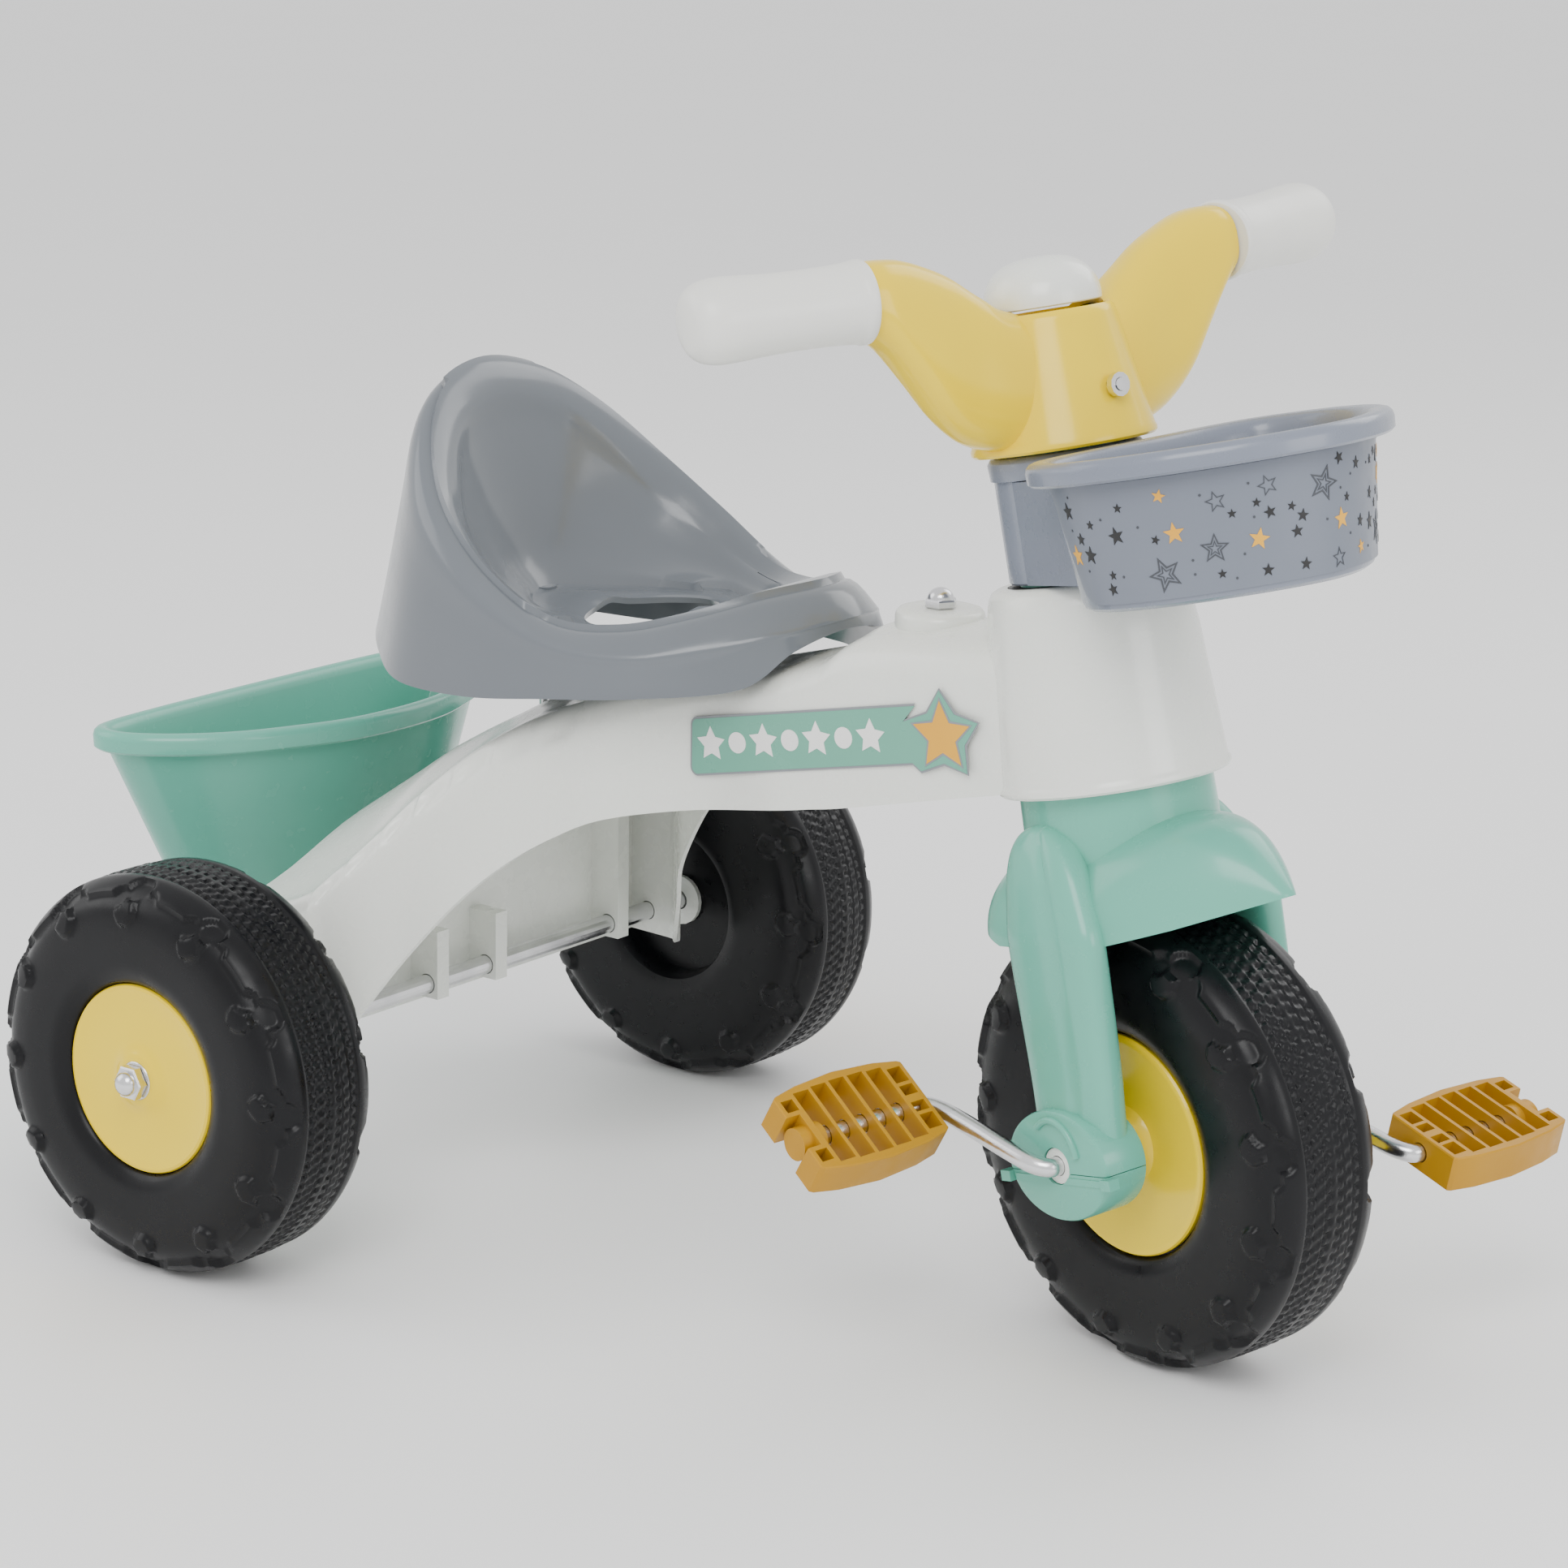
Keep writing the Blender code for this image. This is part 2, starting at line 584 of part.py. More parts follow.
# ---------------------------------------------------------------- fork
LEG_Y = 0.0550
LEG_SECTIONS = [(0.1530, 0.0100, 0.0060), (0.1500, 0.0160, 0.0090), (0.1400, 0.0220, 0.0108),
                (0.1200, 0.0275, 0.0112), (0.0900, 0.0285, 0.0112), (0.0500, 0.0272, 0.0112),
                (0.0200, 0.0262, 0.0112), (0.0030, 0.0262, 0.0112)]
HOUSING_R, HOUSING_IN, HOUSING_OUT = 0.0340, 0.0445, 0.0700
HOUSING_FLAT = 0.77          # the housings are ovals, lower than they are long
SPLIT_Z = -0.0030            # where the bottom caps meet the fork
WELL_R = FRONT_R + 0.0050    # the wheel turns in this much room under the crown
WELL_HALF = 0.0400


def flattened(bm):
    bm.transform(Matrix.Diagonal((1.0, 1.0, HOUSING_FLAT, 1.0)))
    return bm


def crown():
    """The hood over the front wheel, as rings from its hem to the column."""
    hem = [(0.106, 0), (0.094, 0.014), (0.074, 0.029), (0.046, 0.047), (0.010, 0.055), (-0.030, 0.0555),
           (-0.057, 0.040), (-0.064, 0)]
    hem_z = [0.1135, 0.1110, 0.1060, 0.1000, 0.0980, 0.0980, 0.1050, 0.1080]
    mid = [(0.092, 0), (0.083, 0.013), (0.064, 0.026), (0.040, 0.041), (0.008, 0.050), (-0.028, 0.049),
           (-0.050, 0.034), (-0.056, 0)]
    mid_z = [0.1320, 0.1300, 0.1260, 0.1240, 0.1220, 0.1220, 0.1240, 0.1260]
    top = [(0.068, 0), (0.062, 0.013), (0.050, 0.022), (0.032, 0.030), (0.004, 0.035), (-0.022, 0.034),
           (-0.038, 0.022), (-0.042, 0)]
    top_z = [0.1490, 0.1485, 0.1460, 0.1430, 0.1400, 0.1380, 0.1370, 0.1370]
    rings = []
    for outline, heights, lift in ((hem, hem_z, -0.0300), (hem, hem_z, 0.0), (mid, mid_z, 0.0),
                                   (top, top_z, 0.0)):
        half = [(x, y, z + lift) for (x, y), z in zip(outline, heights)]
        whole = half + [(x, -y, z) for x, y, z in reversed(half[1:-1])]
        if lift:
            whole = [(x, y, min(z, 0.0800)) for x, y, z in whole]
        rings.append(smooth_closed(whole, 2))
    return loft(rings)


def fork(parent, mat):
    column = [(0, 0.1013), (0.0460, 0.1013), (0.0455, NECK_LOW - 0.0006), (STEM_R, NECK_LOW - 0.0006),
              (STEM_R, 0.3620), (0, 0.3620)]
    body = new_object("fork", turned(column, 28, closed=False), mat, parent)
    hood = tool("fork_hood", crown(), parent)
    slab = tool("below_hood", hood_underside(), parent)
    cut(hood, slab)
    add(body, hood)
    well = rod(WELL_R, (0, -WELL_HALF, 0), (0, WELL_HALF, 0), 40)
    cut(body, tool("wheel_well", well, parent))
    for side in (-1, 1):
        rings = []
        for z, half_x, half_y in LEG_SECTIONS:
            lean = min(1.0, max(0.0, (z - 0.105) / 0.045))
            outline = oval(0.002 - 0.008 * lean, side * (LEG_Y - 0.010 * lean), half_x, half_y, 16, 2.6)
            rings.append([Vector((x, y, z)) for x, y in outline])
        add(body, tool("fork_leg", loft(rings), parent))
        ends = sorted((side * HOUSING_IN, side * HOUSING_OUT))
        disc = [(0, ends[0]), (HOUSING_R, ends[0]), (HOUSING_R, ends[1]), (0, ends[1])]
        housing = tool("fork_housing", flattened(turned(disc, 32, "Y", closed=False)), parent)
        cut(housing, tool("housing_split", box((-0.05, ends[0] - 0.01, -0.05),
                                               (0.05, ends[1] + 0.01, SPLIT_Z)), parent))
        add(body, housing)
    cut(body, tool("crank_bore", rod(0.0088, (0, -0.08, 0), (0, 0.08, 0), 24), parent))
    cut(body, tool("stem_bore", rod(STEM_BORE, (0, 0, 0.1300), (0, 0, 0.38), 28), parent))
    cut(body, tool("bar_bolt_bore", rod(0.0033, (-0.06, 0, BOLT_Z), (0.06, 0, BOLT_Z), 12), parent))
    return body


def hood_underside():
    """Everything below the hem of the hood, which rises towards its front and its back."""
    profile = [(-0.08, 0.05), (0.12, 0.05), (0.12, 0.1160), (0.064, 0.1045), (0.030, 0.0990),
               (-0.035, 0.0990), (-0.08, 0.1130)]
    return loft([[Vector((x, y, z)) for x, z in profile] for y in (-0.08, 0.08)])


def fork_cap(side, parent, mat):
    name = "left" if side > 0 else "right"
    ends = sorted((side * HOUSING_IN, side * HOUSING_OUT))
    disc = [(0, ends[0]), (HOUSING_R, ends[0]), (HOUSING_R, ends[1]), (0, ends[1])]
    cap = new_object("fork_cap_" + name, flattened(turned(disc, 32, "Y", closed=False)), mat, parent)
    top = SPLIT_Z - GAP
    cut(cap, tool("cap_split", box((-0.05, ends[0] - 0.01, top), (0.05, ends[1] + 0.01, 0.05)), parent))
    cut(cap, tool("cap_bore", rod(0.0088, (0, -0.08, 0), (0, 0.08, 0), 24), parent))
    tabs = [((x - 0.0030, side * LEG_Y - 0.006, top - 0.0060),
             (x + 0.0030, side * LEG_Y + 0.006, top - 0.0005)) for x in (-0.0345, 0.0345)]
    add(cap, tool("cap_tabs", boxes(tabs), parent))
    bush = ring_profile(ROD_R + GAP, 0.0085, ends[0] + 0.001, ends[1] - 0.001)
    new_object("crank_bush_" + name, turned(bush, 20, "Y"), material("white_plastic", WHITE, 0.4), parent)


# ---------------------------------------------------------------- crank and pedals
def crank_end(side):
    """Where a pedal's spindle crosses the crank arm, in steering coordinates."""
    return Vector((side * CRANK_ARM * math.cos(CRANK_ANGLE), 0,
                   side * CRANK_ARM * math.sin(CRANK_ANGLE)))


def crank_path():
    half = [(0.0000, 0.0700), (0.0010, 0.0745), (0.0080, 0.0785), (0.0240, 0.0800),
            (0.0480, 0.0812), (0.0650, 0.0830), (0.0735, 0.0870), (0.0750, 0.0930)]
    points = []
    for along, across in half:
        heading = crank_end(1).normalized() * along
        points.append(Vector((heading.x, across, heading.z)))
    bend = smooth_open(points, 2)
    tip = crank_end(1) + Vector((0, PEDAL_IN + PEDAL_LENGTH - 0.0080, 0))
    left = [Vector((0, 0, 0))] + bend + [tip]
    right = [Vector((-p.x, -p.y, -p.z)) for p in reversed(left[1:])]
    return right + left


def pedal_outline():
    half = [(0.0000, 0.0215), (0.2000, 0.0250), (0.5000, 0.0265), (0.8000, 0.0250), (1.0000, 0.0215)]
    return [(PEDAL_LENGTH * along, width) for along, width in half]


def pedal(side, parent, mat):
    """A pedal about its spindle: x is the tread, y runs outwards, z is its thickness."""
    name = "left" if side > 0 else "right"
    thick = 0.0092
    edge = pedal_outline()
    outline = [(w, side * (PEDAL_IN + a)) for a, w in edge]
    outline += [(-w, side * (PEDAL_IN + a)) for a, w in reversed(edge)]
    rings = [[Vector((x, y, z)) for x, y in outline] for z in (-thick, thick)]
    body = new_object("pedal_" + name, loft(rings), mat, parent)
    slots = []
    pitch = 0.0112
    for i in range(5):
        start = PEDAL_IN + 0.0125 + pitch * i
        low_y, high_y = sorted((side * start, side * (start + pitch - 0.0022)))
        reach = 0.0190 + 0.0030 * math.sin(math.pi * (start - PEDAL_IN + 0.004) / PEDAL_LENGTH)
        slots.append(((-reach, low_y, -0.02), (reach, high_y, 0.02)))
    for tread in (-1, 1):
        low_y, high_y = sorted((side * (PEDAL_IN + 0.0030), side * (PEDAL_IN + 0.0103)))
        low_x, high_x = sorted((tread * 0.0090, tread * 0.0190))
        slots.append(((low_x, low_y, -0.02), (high_x, high_y, 0.02)))
        low_y, high_y = sorted((side * (PEDAL_IN + PEDAL_LENGTH - 0.0075), side * 0.2))
        low_x, high_x = sorted((tread * 0.0050, tread * 0.0100))
        slots.append(((low_x, low_y, -0.02), (high_x, high_y, 0.02)))
    cut(body, tool("pedal_slots", boxes(slots), parent))
    bore = rod(ROD_R + GAP, (0, 0, 0), (0, side * (PEDAL_IN + PEDAL_LENGTH - 0.0070), 0), 16)
    cut(body, tool("spindle_bore", bore, parent))


def pedal_retainer(side, parent, steel):
    """The push nut that keeps a pedal on its spindle, in the pedal's last slot."""
    name = "left" if side > 0 else "right"
    middle = PEDAL_IN + 0.0125 + 0.0112 * 4 + 0.0045
    profile = [(r, side * h) for r, h in ring_profile(ROD_R + GAP, 0.0072, middle - 0.0006,
                                                      middle + 0.0006)]
    made = new_object("pedal_retainer_" + name, turned(profile, 16, "Y"), steel, parent)
    made.location = crank_end(side)


# ---------------------------------------------------------------- handlebar
BOLT_Z = 0.3480              # the bolt that holds the handlebar on the steering tube
# Sections of one arm: distance out, x, half depth, bottom, top.
ARM_SECTIONS = [(0.0000, 0.000, 0.0240, 0.3240, 0.3830), (0.0300, 0.000, 0.0220, 0.3250, 0.3890),
                (0.0450, 0.001, 0.0200, 0.3270, 0.3980), (0.0600, 0.002, 0.0175, 0.3330, 0.4085),
                (0.0740, 0.003, 0.0165, 0.3450, 0.4150), (0.0860, 0.003, 0.0165, 0.3620, 0.4190),
                (0.0970, 0.002, 0.0175, 0.3780, 0.4205), (0.1043, 0.000, 0.0180, 0.3855, 0.4205)]


def arm_ring(section, side, wall=0.0, count=14):
    out, x, depth, low, top = section
    middle, half = (low + top) / 2, (top - low) / 2 - wall
    outline = oval(x, middle, depth - wall, half, count, 2.3)
    lean = 0.25 * max(0.0, (out - 0.0600) / 0.0443)
    return [Vector((px, side * (out + lean * (px - x)), pz)) for px, pz in outline]


def handlebar(parent, mat):
    sections = [arm_ring(s, -1) for s in reversed(ARM_SECTIONS)]
    sections += [arm_ring(s, 1) for s in ARM_SECTIONS[1:]]
    bar = new_object("handlebar", loft(sections), mat, parent)
    boss = [(0, BAR_LOW), (0.0425, BAR_LOW), (0.0430, BAR_LOW + 0.003), (0.0322, BAR_TOP - 0.003),
            (0.0308, BAR_TOP), (0, BAR_TOP)]
    add(bar, tool("bar_boss", turned(boss, 28, closed=False), parent))
    inner = [arm_ring(s, -1, WALL) for s in reversed(ARM_SECTIONS[:-1])]
    inner += [arm_ring(s, 1, WALL) for s in ARM_SECTIONS[1:-1]]
    cut(bar, tool("bar_hollow", loft(inner), parent))
    socket = rod_profile(STEM_R + GAP, BAR_LOW - 0.01, 0.3625)
    cut(bar, tool("bar_socket", turned(socket, 24, closed=False), parent))
    cut(bar, tool("horn_well", rod(0.0210, (0, 0, 0.3550), (0, 0, 0.40), 24), parent))
    cut(bar, tool("button_well", rod(0.0282, (0, 0, 0.3840), (0, 0, 0.42), 28), parent))
    for side in (-1, 1):
        start, end = grip_line(side)
        spigot = rod(0.0105, start + (start - end).normalized() * 0.008, start + (end - start) * 0.72, 16)
        add(bar, tool("grip_spigot", spigot, parent))
    cut(bar, tool("bar_bolt_hole", rod(0.0033, (-0.06, 0, BOLT_Z), (0.06, 0, BOLT_Z), 12), parent))
    return bar


def grip_line(side):
    return Vector((0.0050, side * GRIP_IN, 0.4030)), Vector((-0.0160, side * GRIP_OUT, 0.4055))


def grip(side, parent, mat):
    """A soft closed-end sleeve over the handlebar's spigot."""
    name = "left" if side > 0 else "right"
    start, end = grip_line(side)
    length = (end - start).length
    bore_end = 0.72 * length + 0.001
    profile = [(0.0108, 0.0), (0.0188, 0.0), (0.0190, 0.0040), (0.0176, 0.0300), (0.0182, 0.0560),
               (0.0192, 0.0700), (0.0170, length - 0.0060), (0.0100, length - 0.0010), (0, length),
               (0, bore_end), (0.0108, bore_end)]
    bm = grip_body(profile)
    turn = (end - start).to_track_quat("Z", "Y").to_matrix().to_4x4()
    shift = (end - start).normalized() * 0.0006
    bm.transform(Matrix.Translation(start + shift) @ turn)
    new_object("grip_" + name, bm, mat, parent)


def grip_body(profile):
    bm = nut_body(profile, 1)
    bm.transform(Matrix.Rotation(math.pi / 2, 4, "X"))
    return bm


def horn(button_parent, parent, white, dark):
    """The push button on top of the handlebar, and the squeaker under it."""
    dome = [(0, 0.3870), (0.0265, 0.3870), (0.0272, 0.3900), (0.0255, 0.3980), (0.0200, 0.4050),
            (0.0110, 0.4090), (0, 0.4100)]
    new_object("horn_button", turned(dome, 28, closed=False), white, button_parent)
    bellows = [(0, 0.3630), (0.0170, 0.3630), (0.0190, 0.3650), (0.0160, 0.3680), (0.0190, 0.3710),
               (0.0160, 0.3740), (0.0190, 0.3770), (0.0160, 0.3790), (0, 0.3790)]
    new_object("horn_bellows", turned(bellows, 20, closed=False), dark, parent)


def bar_fasteners(parent, steel):
    """The bolt across the handlebar's boss, its head behind and its nut in front."""
    bolt = [(0, -0.0460), (0.0040, -0.0460), (0.0058, -0.0440), (0.0058, -0.0412), (0.0030, -0.0412),
            (0.0030, 0.0452), (0, 0.0452)]
    bm = turned(bolt, 12, closed=False)
    bm.transform(Matrix.Translation((0, 0, BOLT_Z)) @ Matrix.Rotation(math.pi / 2, 4, "Y"))
    new_object("handlebar_bolt", bm, steel, parent)
    nut = turned(ring_profile(0.0032, 0.0056, 0.0412, 0.0446), 12)
    bm = nut
    bm.transform(Matrix.Translation((0, 0, BOLT_Z)) @ Matrix.Rotation(math.pi / 2, 4, "Y"))
    new_object("handlebar_nut", bm, steel, parent, smooth=25)


# ---------------------------------------------------------------- basket
BASKET_RIM = [(0.0440, 0), (0.0440, 0.0450), (0.0550, 0.0720), (0.0830, 0.0860), (0.1120, 0.0850),
              (0.1400, 0.0715), (0.1620, 0.0490), (0.1760, 0.0250), (0.1815, 0)]
BASKET_LOW = 0.2535
BASKET_LIP = 0.0100
BASKET_TAPER = 0.0065
BASKET_WALL = 0.0025


def basket_rim(steps=2):
    points = smooth_closed([(x, y, 0) for x, y in mirrored(BASKET_RIM)], steps)
    return [(p.x, p.y) for p in points]


def basket(parent, mat):
    rim = basket_rim()
    body = BASKET_LIP + BASKET_TAPER
    levels = [
        (inset(rim, body + 0.0050), BASKET_LOW),
        (inset(rim, body), BASKET_LOW + 0.0045),
        (inset(rim, BASKET_LIP), SLEEVE_TOP - 0.0100),
        (rim, SLEEVE_TOP - 0.0100),
        (rim, SLEEVE_TOP - 0.0030),
        (inset(rim, 0.0025), SLEEVE_TOP),
        (inset(rim, BASKET_LIP), SLEEVE_TOP),
        (inset(rim, BASKET_LIP + BASKET_WALL), SLEEVE_TOP - 0.0030),
        (inset(rim, body + BASKET_WALL), BASKET_LOW + 0.0055),
        (inset(rim, body + BASKET_WALL + 0.0050), BASKET_LOW + 0.0030),
    ]
    rings = [[Vector((x, y, z)) for x, y in outline] for outline, z in levels]
    shell = new_object("basket", loft(rings), mat, parent)
    sleeve = rod_profile(0.0345, SLEEVE_LOW, SLEEVE_TOP)
    add(shell, tool("basket_sleeve", turned(sleeve, 32, closed=False), parent))
    web = [((0.0100, -0.0300, SLEEVE_LOW), (0.0640, 0.0300, SLEEVE_TOP - 0.0060))]
    cutaway = inset(rim, body + BASKET_WALL)
    room = [[Vector((x, y, z)) for x, y in cutaway] for z in (BASKET_LOW + 0.0060, SLEEVE_TOP + 0.01)]
    web_tool = tool("basket_web", boxes(web), parent)
    cut(web_tool, tool("basket_room", loft(room), parent))
    add(shell, web_tool)
    cut(shell, tool("basket_sleeve_bore", rod(STEM_R + GAP, (0, 0, 0.25), (0, 0, 0.34), 32), parent))
    return shell


def basket_label(parent, mat):
    """A printed wrap on the basket's wall, under its rim."""
    rim = basket_rim(3)
    body = BASKET_LIP + BASKET_TAPER
    chosen = [i for i, (x, y) in enumerate(rim) if x > 0.062]
    first = min(chosen)
    low_line, high_line = inset(rim, body), inset(rim, BASKET_LIP)
    low_z, high_z = BASKET_LOW + 0.0055, SLEEVE_TOP - 0.0115
    span = SLEEVE_TOP - 0.0100 - (BASKET_LOW + 0.0045)

    def on_wall(i, z, out):
        share = (z - BASKET_LOW - 0.0045) / span
        a, b = Vector(low_line[i]), Vector(high_line[i])
        point = a.lerp(b, share)
        before, after = Vector(rim[i - 1]), Vector(rim[(i + 1) % len(rim)])
        tangent = (after - before).normalized()
        normal = Vector((tangent.y, -tangent.x))
        if normal.dot(point - Vector((0.11, 0))) < 0:
            normal = -normal
        return Vector((*(point + normal * out), z))

    rings = []
    for i in sorted(chosen, key=lambda k: (k - first)):
        rings.append([on_wall(i, low_z, GAP), on_wall(i, high_z, GAP),
                      on_wall(i, high_z, GAP + 0.0006), on_wall(i, low_z, GAP + 0.0006)])
    new_object("basket_label", loft(rings), mat, parent)


# ---------------------------------------------------------------- labels on the frame
LABEL_START, LABEL_END = 0.1885, 0.3370
LABEL_BAR_LOW, LABEL_BAR_HIGH = 0.2475, 0.2770


def label_outline():
    """A rounded bar that ends in a star, as (x, z) pairs."""
    corner = 0.0040
    bar_end = LABEL_END - 0.0160
    slope = 0.20
    left = []
    for turn in range(5):
        angle = math.pi / 2 + math.pi / 2 * turn / 4
        left.append((LABEL_START + corner + corner * math.cos(angle),
                     LABEL_BAR_HIGH - corner + corner * math.sin(angle)))
    for turn in range(5):
        angle = math.pi + math.pi / 2 * turn / 4
        left.append((LABEL_START + corner + corner * math.cos(angle),
                     LABEL_BAR_LOW + corner + corner * math.sin(angle)))
    tip = star(LABEL_END, 0.2905, 0.0225, 0.0140, 5, 0.12)
    order = [4, 5, 6, 7, 8, 9, 0, 1, 2]
    bar_low = (bar_end, LABEL_BAR_LOW + slope * (bar_end - LABEL_START))
    bar_high = (bar_end, LABEL_BAR_HIGH + slope * (bar_end - LABEL_START))
    return left + [bar_low] + [tip[i] for i in order] + [bar_high]


def side_label(side, parent, mat):
    name = "left" if side > 0 else "right"
    outline = label_outline()
    rings = []
    for out in (GAP, GAP + 0.0007):
        rings.append([Vector((x, side * (label_wall(x) + out), z)) for x, z in outline])
    new_object("side_label_" + name, loft(rings), mat, parent)


def label_wall(x):
    """Half width of the frame's side wall where a label lies."""
    return 0.0450 - max(0.0, x - 0.3300) * 0.02


# ---------------------------------------------------------------- small pieces in the frame
def neck_bushes(steering, mat):
    outer, inner = NECK_BORE - GAP, STEM_R + GAP
    low = ring_profile(inner, outer, NECK_LOW + 0.0004, NECK_LOW + 0.0180)
    new_object("neck_bush_lower", turned(low, 28), mat, steering)
    high = ring_profile(inner, outer, NECK_TOP - 0.0180, NECK_TOP)
    new_object("neck_bush_upper", turned(high, 28), mat, steering)


def cap_bolt(parent, steel):
    """The carriage bolt through the beam and the domed nut that shows on top."""
    bolt = [(0, 0.3182), (0.0060, 0.3182), (0.0065, 0.3200), (0.0065, 0.3222), (0.0030, 0.3222),
            (0.0030, 0.3460), (0, 0.3460)]
    made = new_object("frame_bolt", turned(bolt, 12, closed=False), steel, parent)
    made.location = (CAP_BOLT_X, 0, 0)
    nut = [(0.0033, 0.3394), (0.0075, 0.3394), (0.0075, 0.3435), (0.0066, 0.3450), (0.0055, 0.3480),
           (0.0030, 0.3505), (0, 0.3515), (0, 0.3480), (0.0033, 0.3470)]
    bm = nut_body(nut, 1)
    bm.transform(Matrix.Rotation(math.pi / 2, 4, "X"))
    made = new_object("frame_cap_nut", bm, steel, parent, smooth=25)
    made.location = (CAP_BOLT_X, 0, 0)


# ---------------------------------------------------------------- assembly
def build():
    for old in list(bpy.data.objects):
        bpy.data.objects.remove(old, do_unlink=True)
    white = material("white_plastic", WHITE, 0.35)
    mint = material("mint_plastic", MINT, 0.35)
    yellow = material("yellow_plastic", YELLOW, 0.30)
    grey = material("seat_plastic", SEAT_GREY, 0.30)
    basket_grey = material("basket_plastic", BASKET_GREY, 0.35)
    black = material("tyre_plastic", BLACK, 0.45)
    ochre = material("pedal_plastic", OCHRE, 0.45)
    steel = material("bright_steel", STEEL, 0.25, 1.0)
    label = material("label_film", BASKET_GREY, 0.5)
    side_film = material("side_label_film", MINT, 0.4)

    origin = empty("tricycle_origin", (REAR_AXLE_X, 0, 0))
    rake = empty("steering_rake", (WHEELBASE, 0, FRONT_R), (0, -RAKE, 0), origin)
    steering = empty("steering_axis", (0, 0, 0), (0, 0, STEER_REST), rake)
    neck = empty("neck_axis", (WHEELBASE, 0, FRONT_R), (0, -RAKE, 0), origin)

    frame_shell(origin, neck, white)
    neck_bushes(neck, black)
    cap_bolt(origin, steel)
    seat(origin, grey)
    for x, name in zip(SEAT_SCREW_X, ("rear", "front")):
        head = SEAT_PAD[x] - 0.0203 - 0.0030
        screw("seat_screw_" + name, origin, steel, (x, 0, 0), head, SEAT_PAD[x] + 0.0080)
    for side in (1, -1):
        side_label(side, origin, side_film)
        axle_fasteners(side, origin, steel)
    axle_half = TRACK / 2 + 0.0400
    axle = new_object("rear_axle", turned(rod_profile(AXLE_R, -axle_half, axle_half, 0.001), 16, "Y",
                                          closed=False), steel, origin)
    axle.location = (0, 0, REAR_R)

    hinge = empty("bucket_hinge", (PIVOT_X, 0, PIVOT_Z), parent=origin)
    bucket(hinge, mint)
    pin = new_object("bucket_pivot_pin", turned(rod_profile(0.0040, -0.0520, 0.0520, 0.0005), 14, "Y",
                                                closed=False), steel, origin)
    pin.location = (PIVOT_X, 0, PIVOT_Z)

    for side in (1, -1):
        hub = empty("rear_hub_%d" % side, (0, side * TRACK / 2, REAR_R), parent=origin)
        rear_wheel(side, hub, black, yellow, white)

    fork(steering, mint)
    handlebar(steering, yellow)
    bar_fasteners(steering, steel)
    button = empty("horn_axis", (0, 0, 0), parent=steering)
    horn(button, steering, white, black)
    basket(steering, basket_grey)
    basket_label(steering, label)
    front_wheel(steering, black, yellow, white)
    new_object("crankshaft", sweep(crank_path(), ROD_R, 10), steel, steering)
    for side in (1, -1):
        name = "left" if side > 0 else "right"
        fork_cap(side, steering, mint)
        grip(side, steering, white)
        pedal_retainer(side, steering, steel)
        spindle = empty("pedal_axis_" + name, crank_end(side), (0, -PEDAL_TILT[name], 0), steering)
        pedal(side, spindle, ochre)


build()
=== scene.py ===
import math
import random

import bmesh
import bpy
import numpy as np
from mathutils import Matrix, Vector


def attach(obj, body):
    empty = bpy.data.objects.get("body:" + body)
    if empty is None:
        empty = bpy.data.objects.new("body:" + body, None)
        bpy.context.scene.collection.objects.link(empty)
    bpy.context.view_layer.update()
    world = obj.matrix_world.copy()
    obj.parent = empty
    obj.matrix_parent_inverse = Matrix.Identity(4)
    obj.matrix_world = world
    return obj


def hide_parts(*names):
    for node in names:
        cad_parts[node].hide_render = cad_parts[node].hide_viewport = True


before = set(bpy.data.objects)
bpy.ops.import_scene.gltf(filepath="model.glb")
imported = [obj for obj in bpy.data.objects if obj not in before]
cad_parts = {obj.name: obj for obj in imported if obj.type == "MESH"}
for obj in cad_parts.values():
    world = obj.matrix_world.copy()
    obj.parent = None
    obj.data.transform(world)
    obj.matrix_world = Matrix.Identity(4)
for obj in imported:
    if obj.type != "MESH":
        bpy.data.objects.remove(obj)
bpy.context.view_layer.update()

# ---------------------------------------------------------------- dimensions, as in the CAD
REAR_AXLE_X, WHEELBASE, TRACK = -0.2152, 0.4396, 0.4090
REAR_R, FRONT_R, TYRE_HALF, FRONT_TYRE_HALF = 0.1000, 0.1094, 0.0350, 0.0330
RAKE, STEER_REST = math.radians(12.53), math.radians(-14.57)
CRANK_ARM, CRANK_ANGLE = 0.0750, math.radians(-23.0)
PEDAL_TILT = {1: math.radians(-27.0), -1: math.radians(-46.0)}
PEDAL_IN, PEDAL_LENGTH, ROD_R = 0.0905, 0.0760, 0.0045
NECK_BORE, NECK_LOW, NECK_TOP, STEM_R = 0.0360, 0.1670, 0.2620, 0.0300
SLEEVE_LOW, SLEEVE_TOP, BAR_LOW, BAR_TOP = 0.2635, 0.3220, 0.3230, 0.3850
GRIP_IN, GRIP_OUT, BAR_BOLT_Z = 0.1060, 0.1900, 0.3480
PIVOT_X, PIVOT_Z, CAP_BOLT_X = -0.1000, 0.1140, 0.3020
BUCKET_TOP, BUCKET_LOW, BASKET_LOW = 0.2360, 0.1310, 0.2535

ORIGIN = Matrix.Translation((REAR_AXLE_X, 0, 0))
NECK = ORIGIN @ Matrix.Translation((WHEELBASE, 0, FRONT_R)) @ Matrix.Rotation(-RAKE, 4, "Y")
STEER = NECK @ Matrix.Rotation(STEER_REST, 4, "Z")
SIDES = ((1, "left"), (-1, "right"))
rng = random.Random(7)


# ---------------------------------------------------------------- materials
def nodes_of(name):
    made = bpy.data.materials.new(name)
    made.use_nodes = True
    tree = made.node_tree
    return made, tree, tree.nodes["Principled BSDF"]


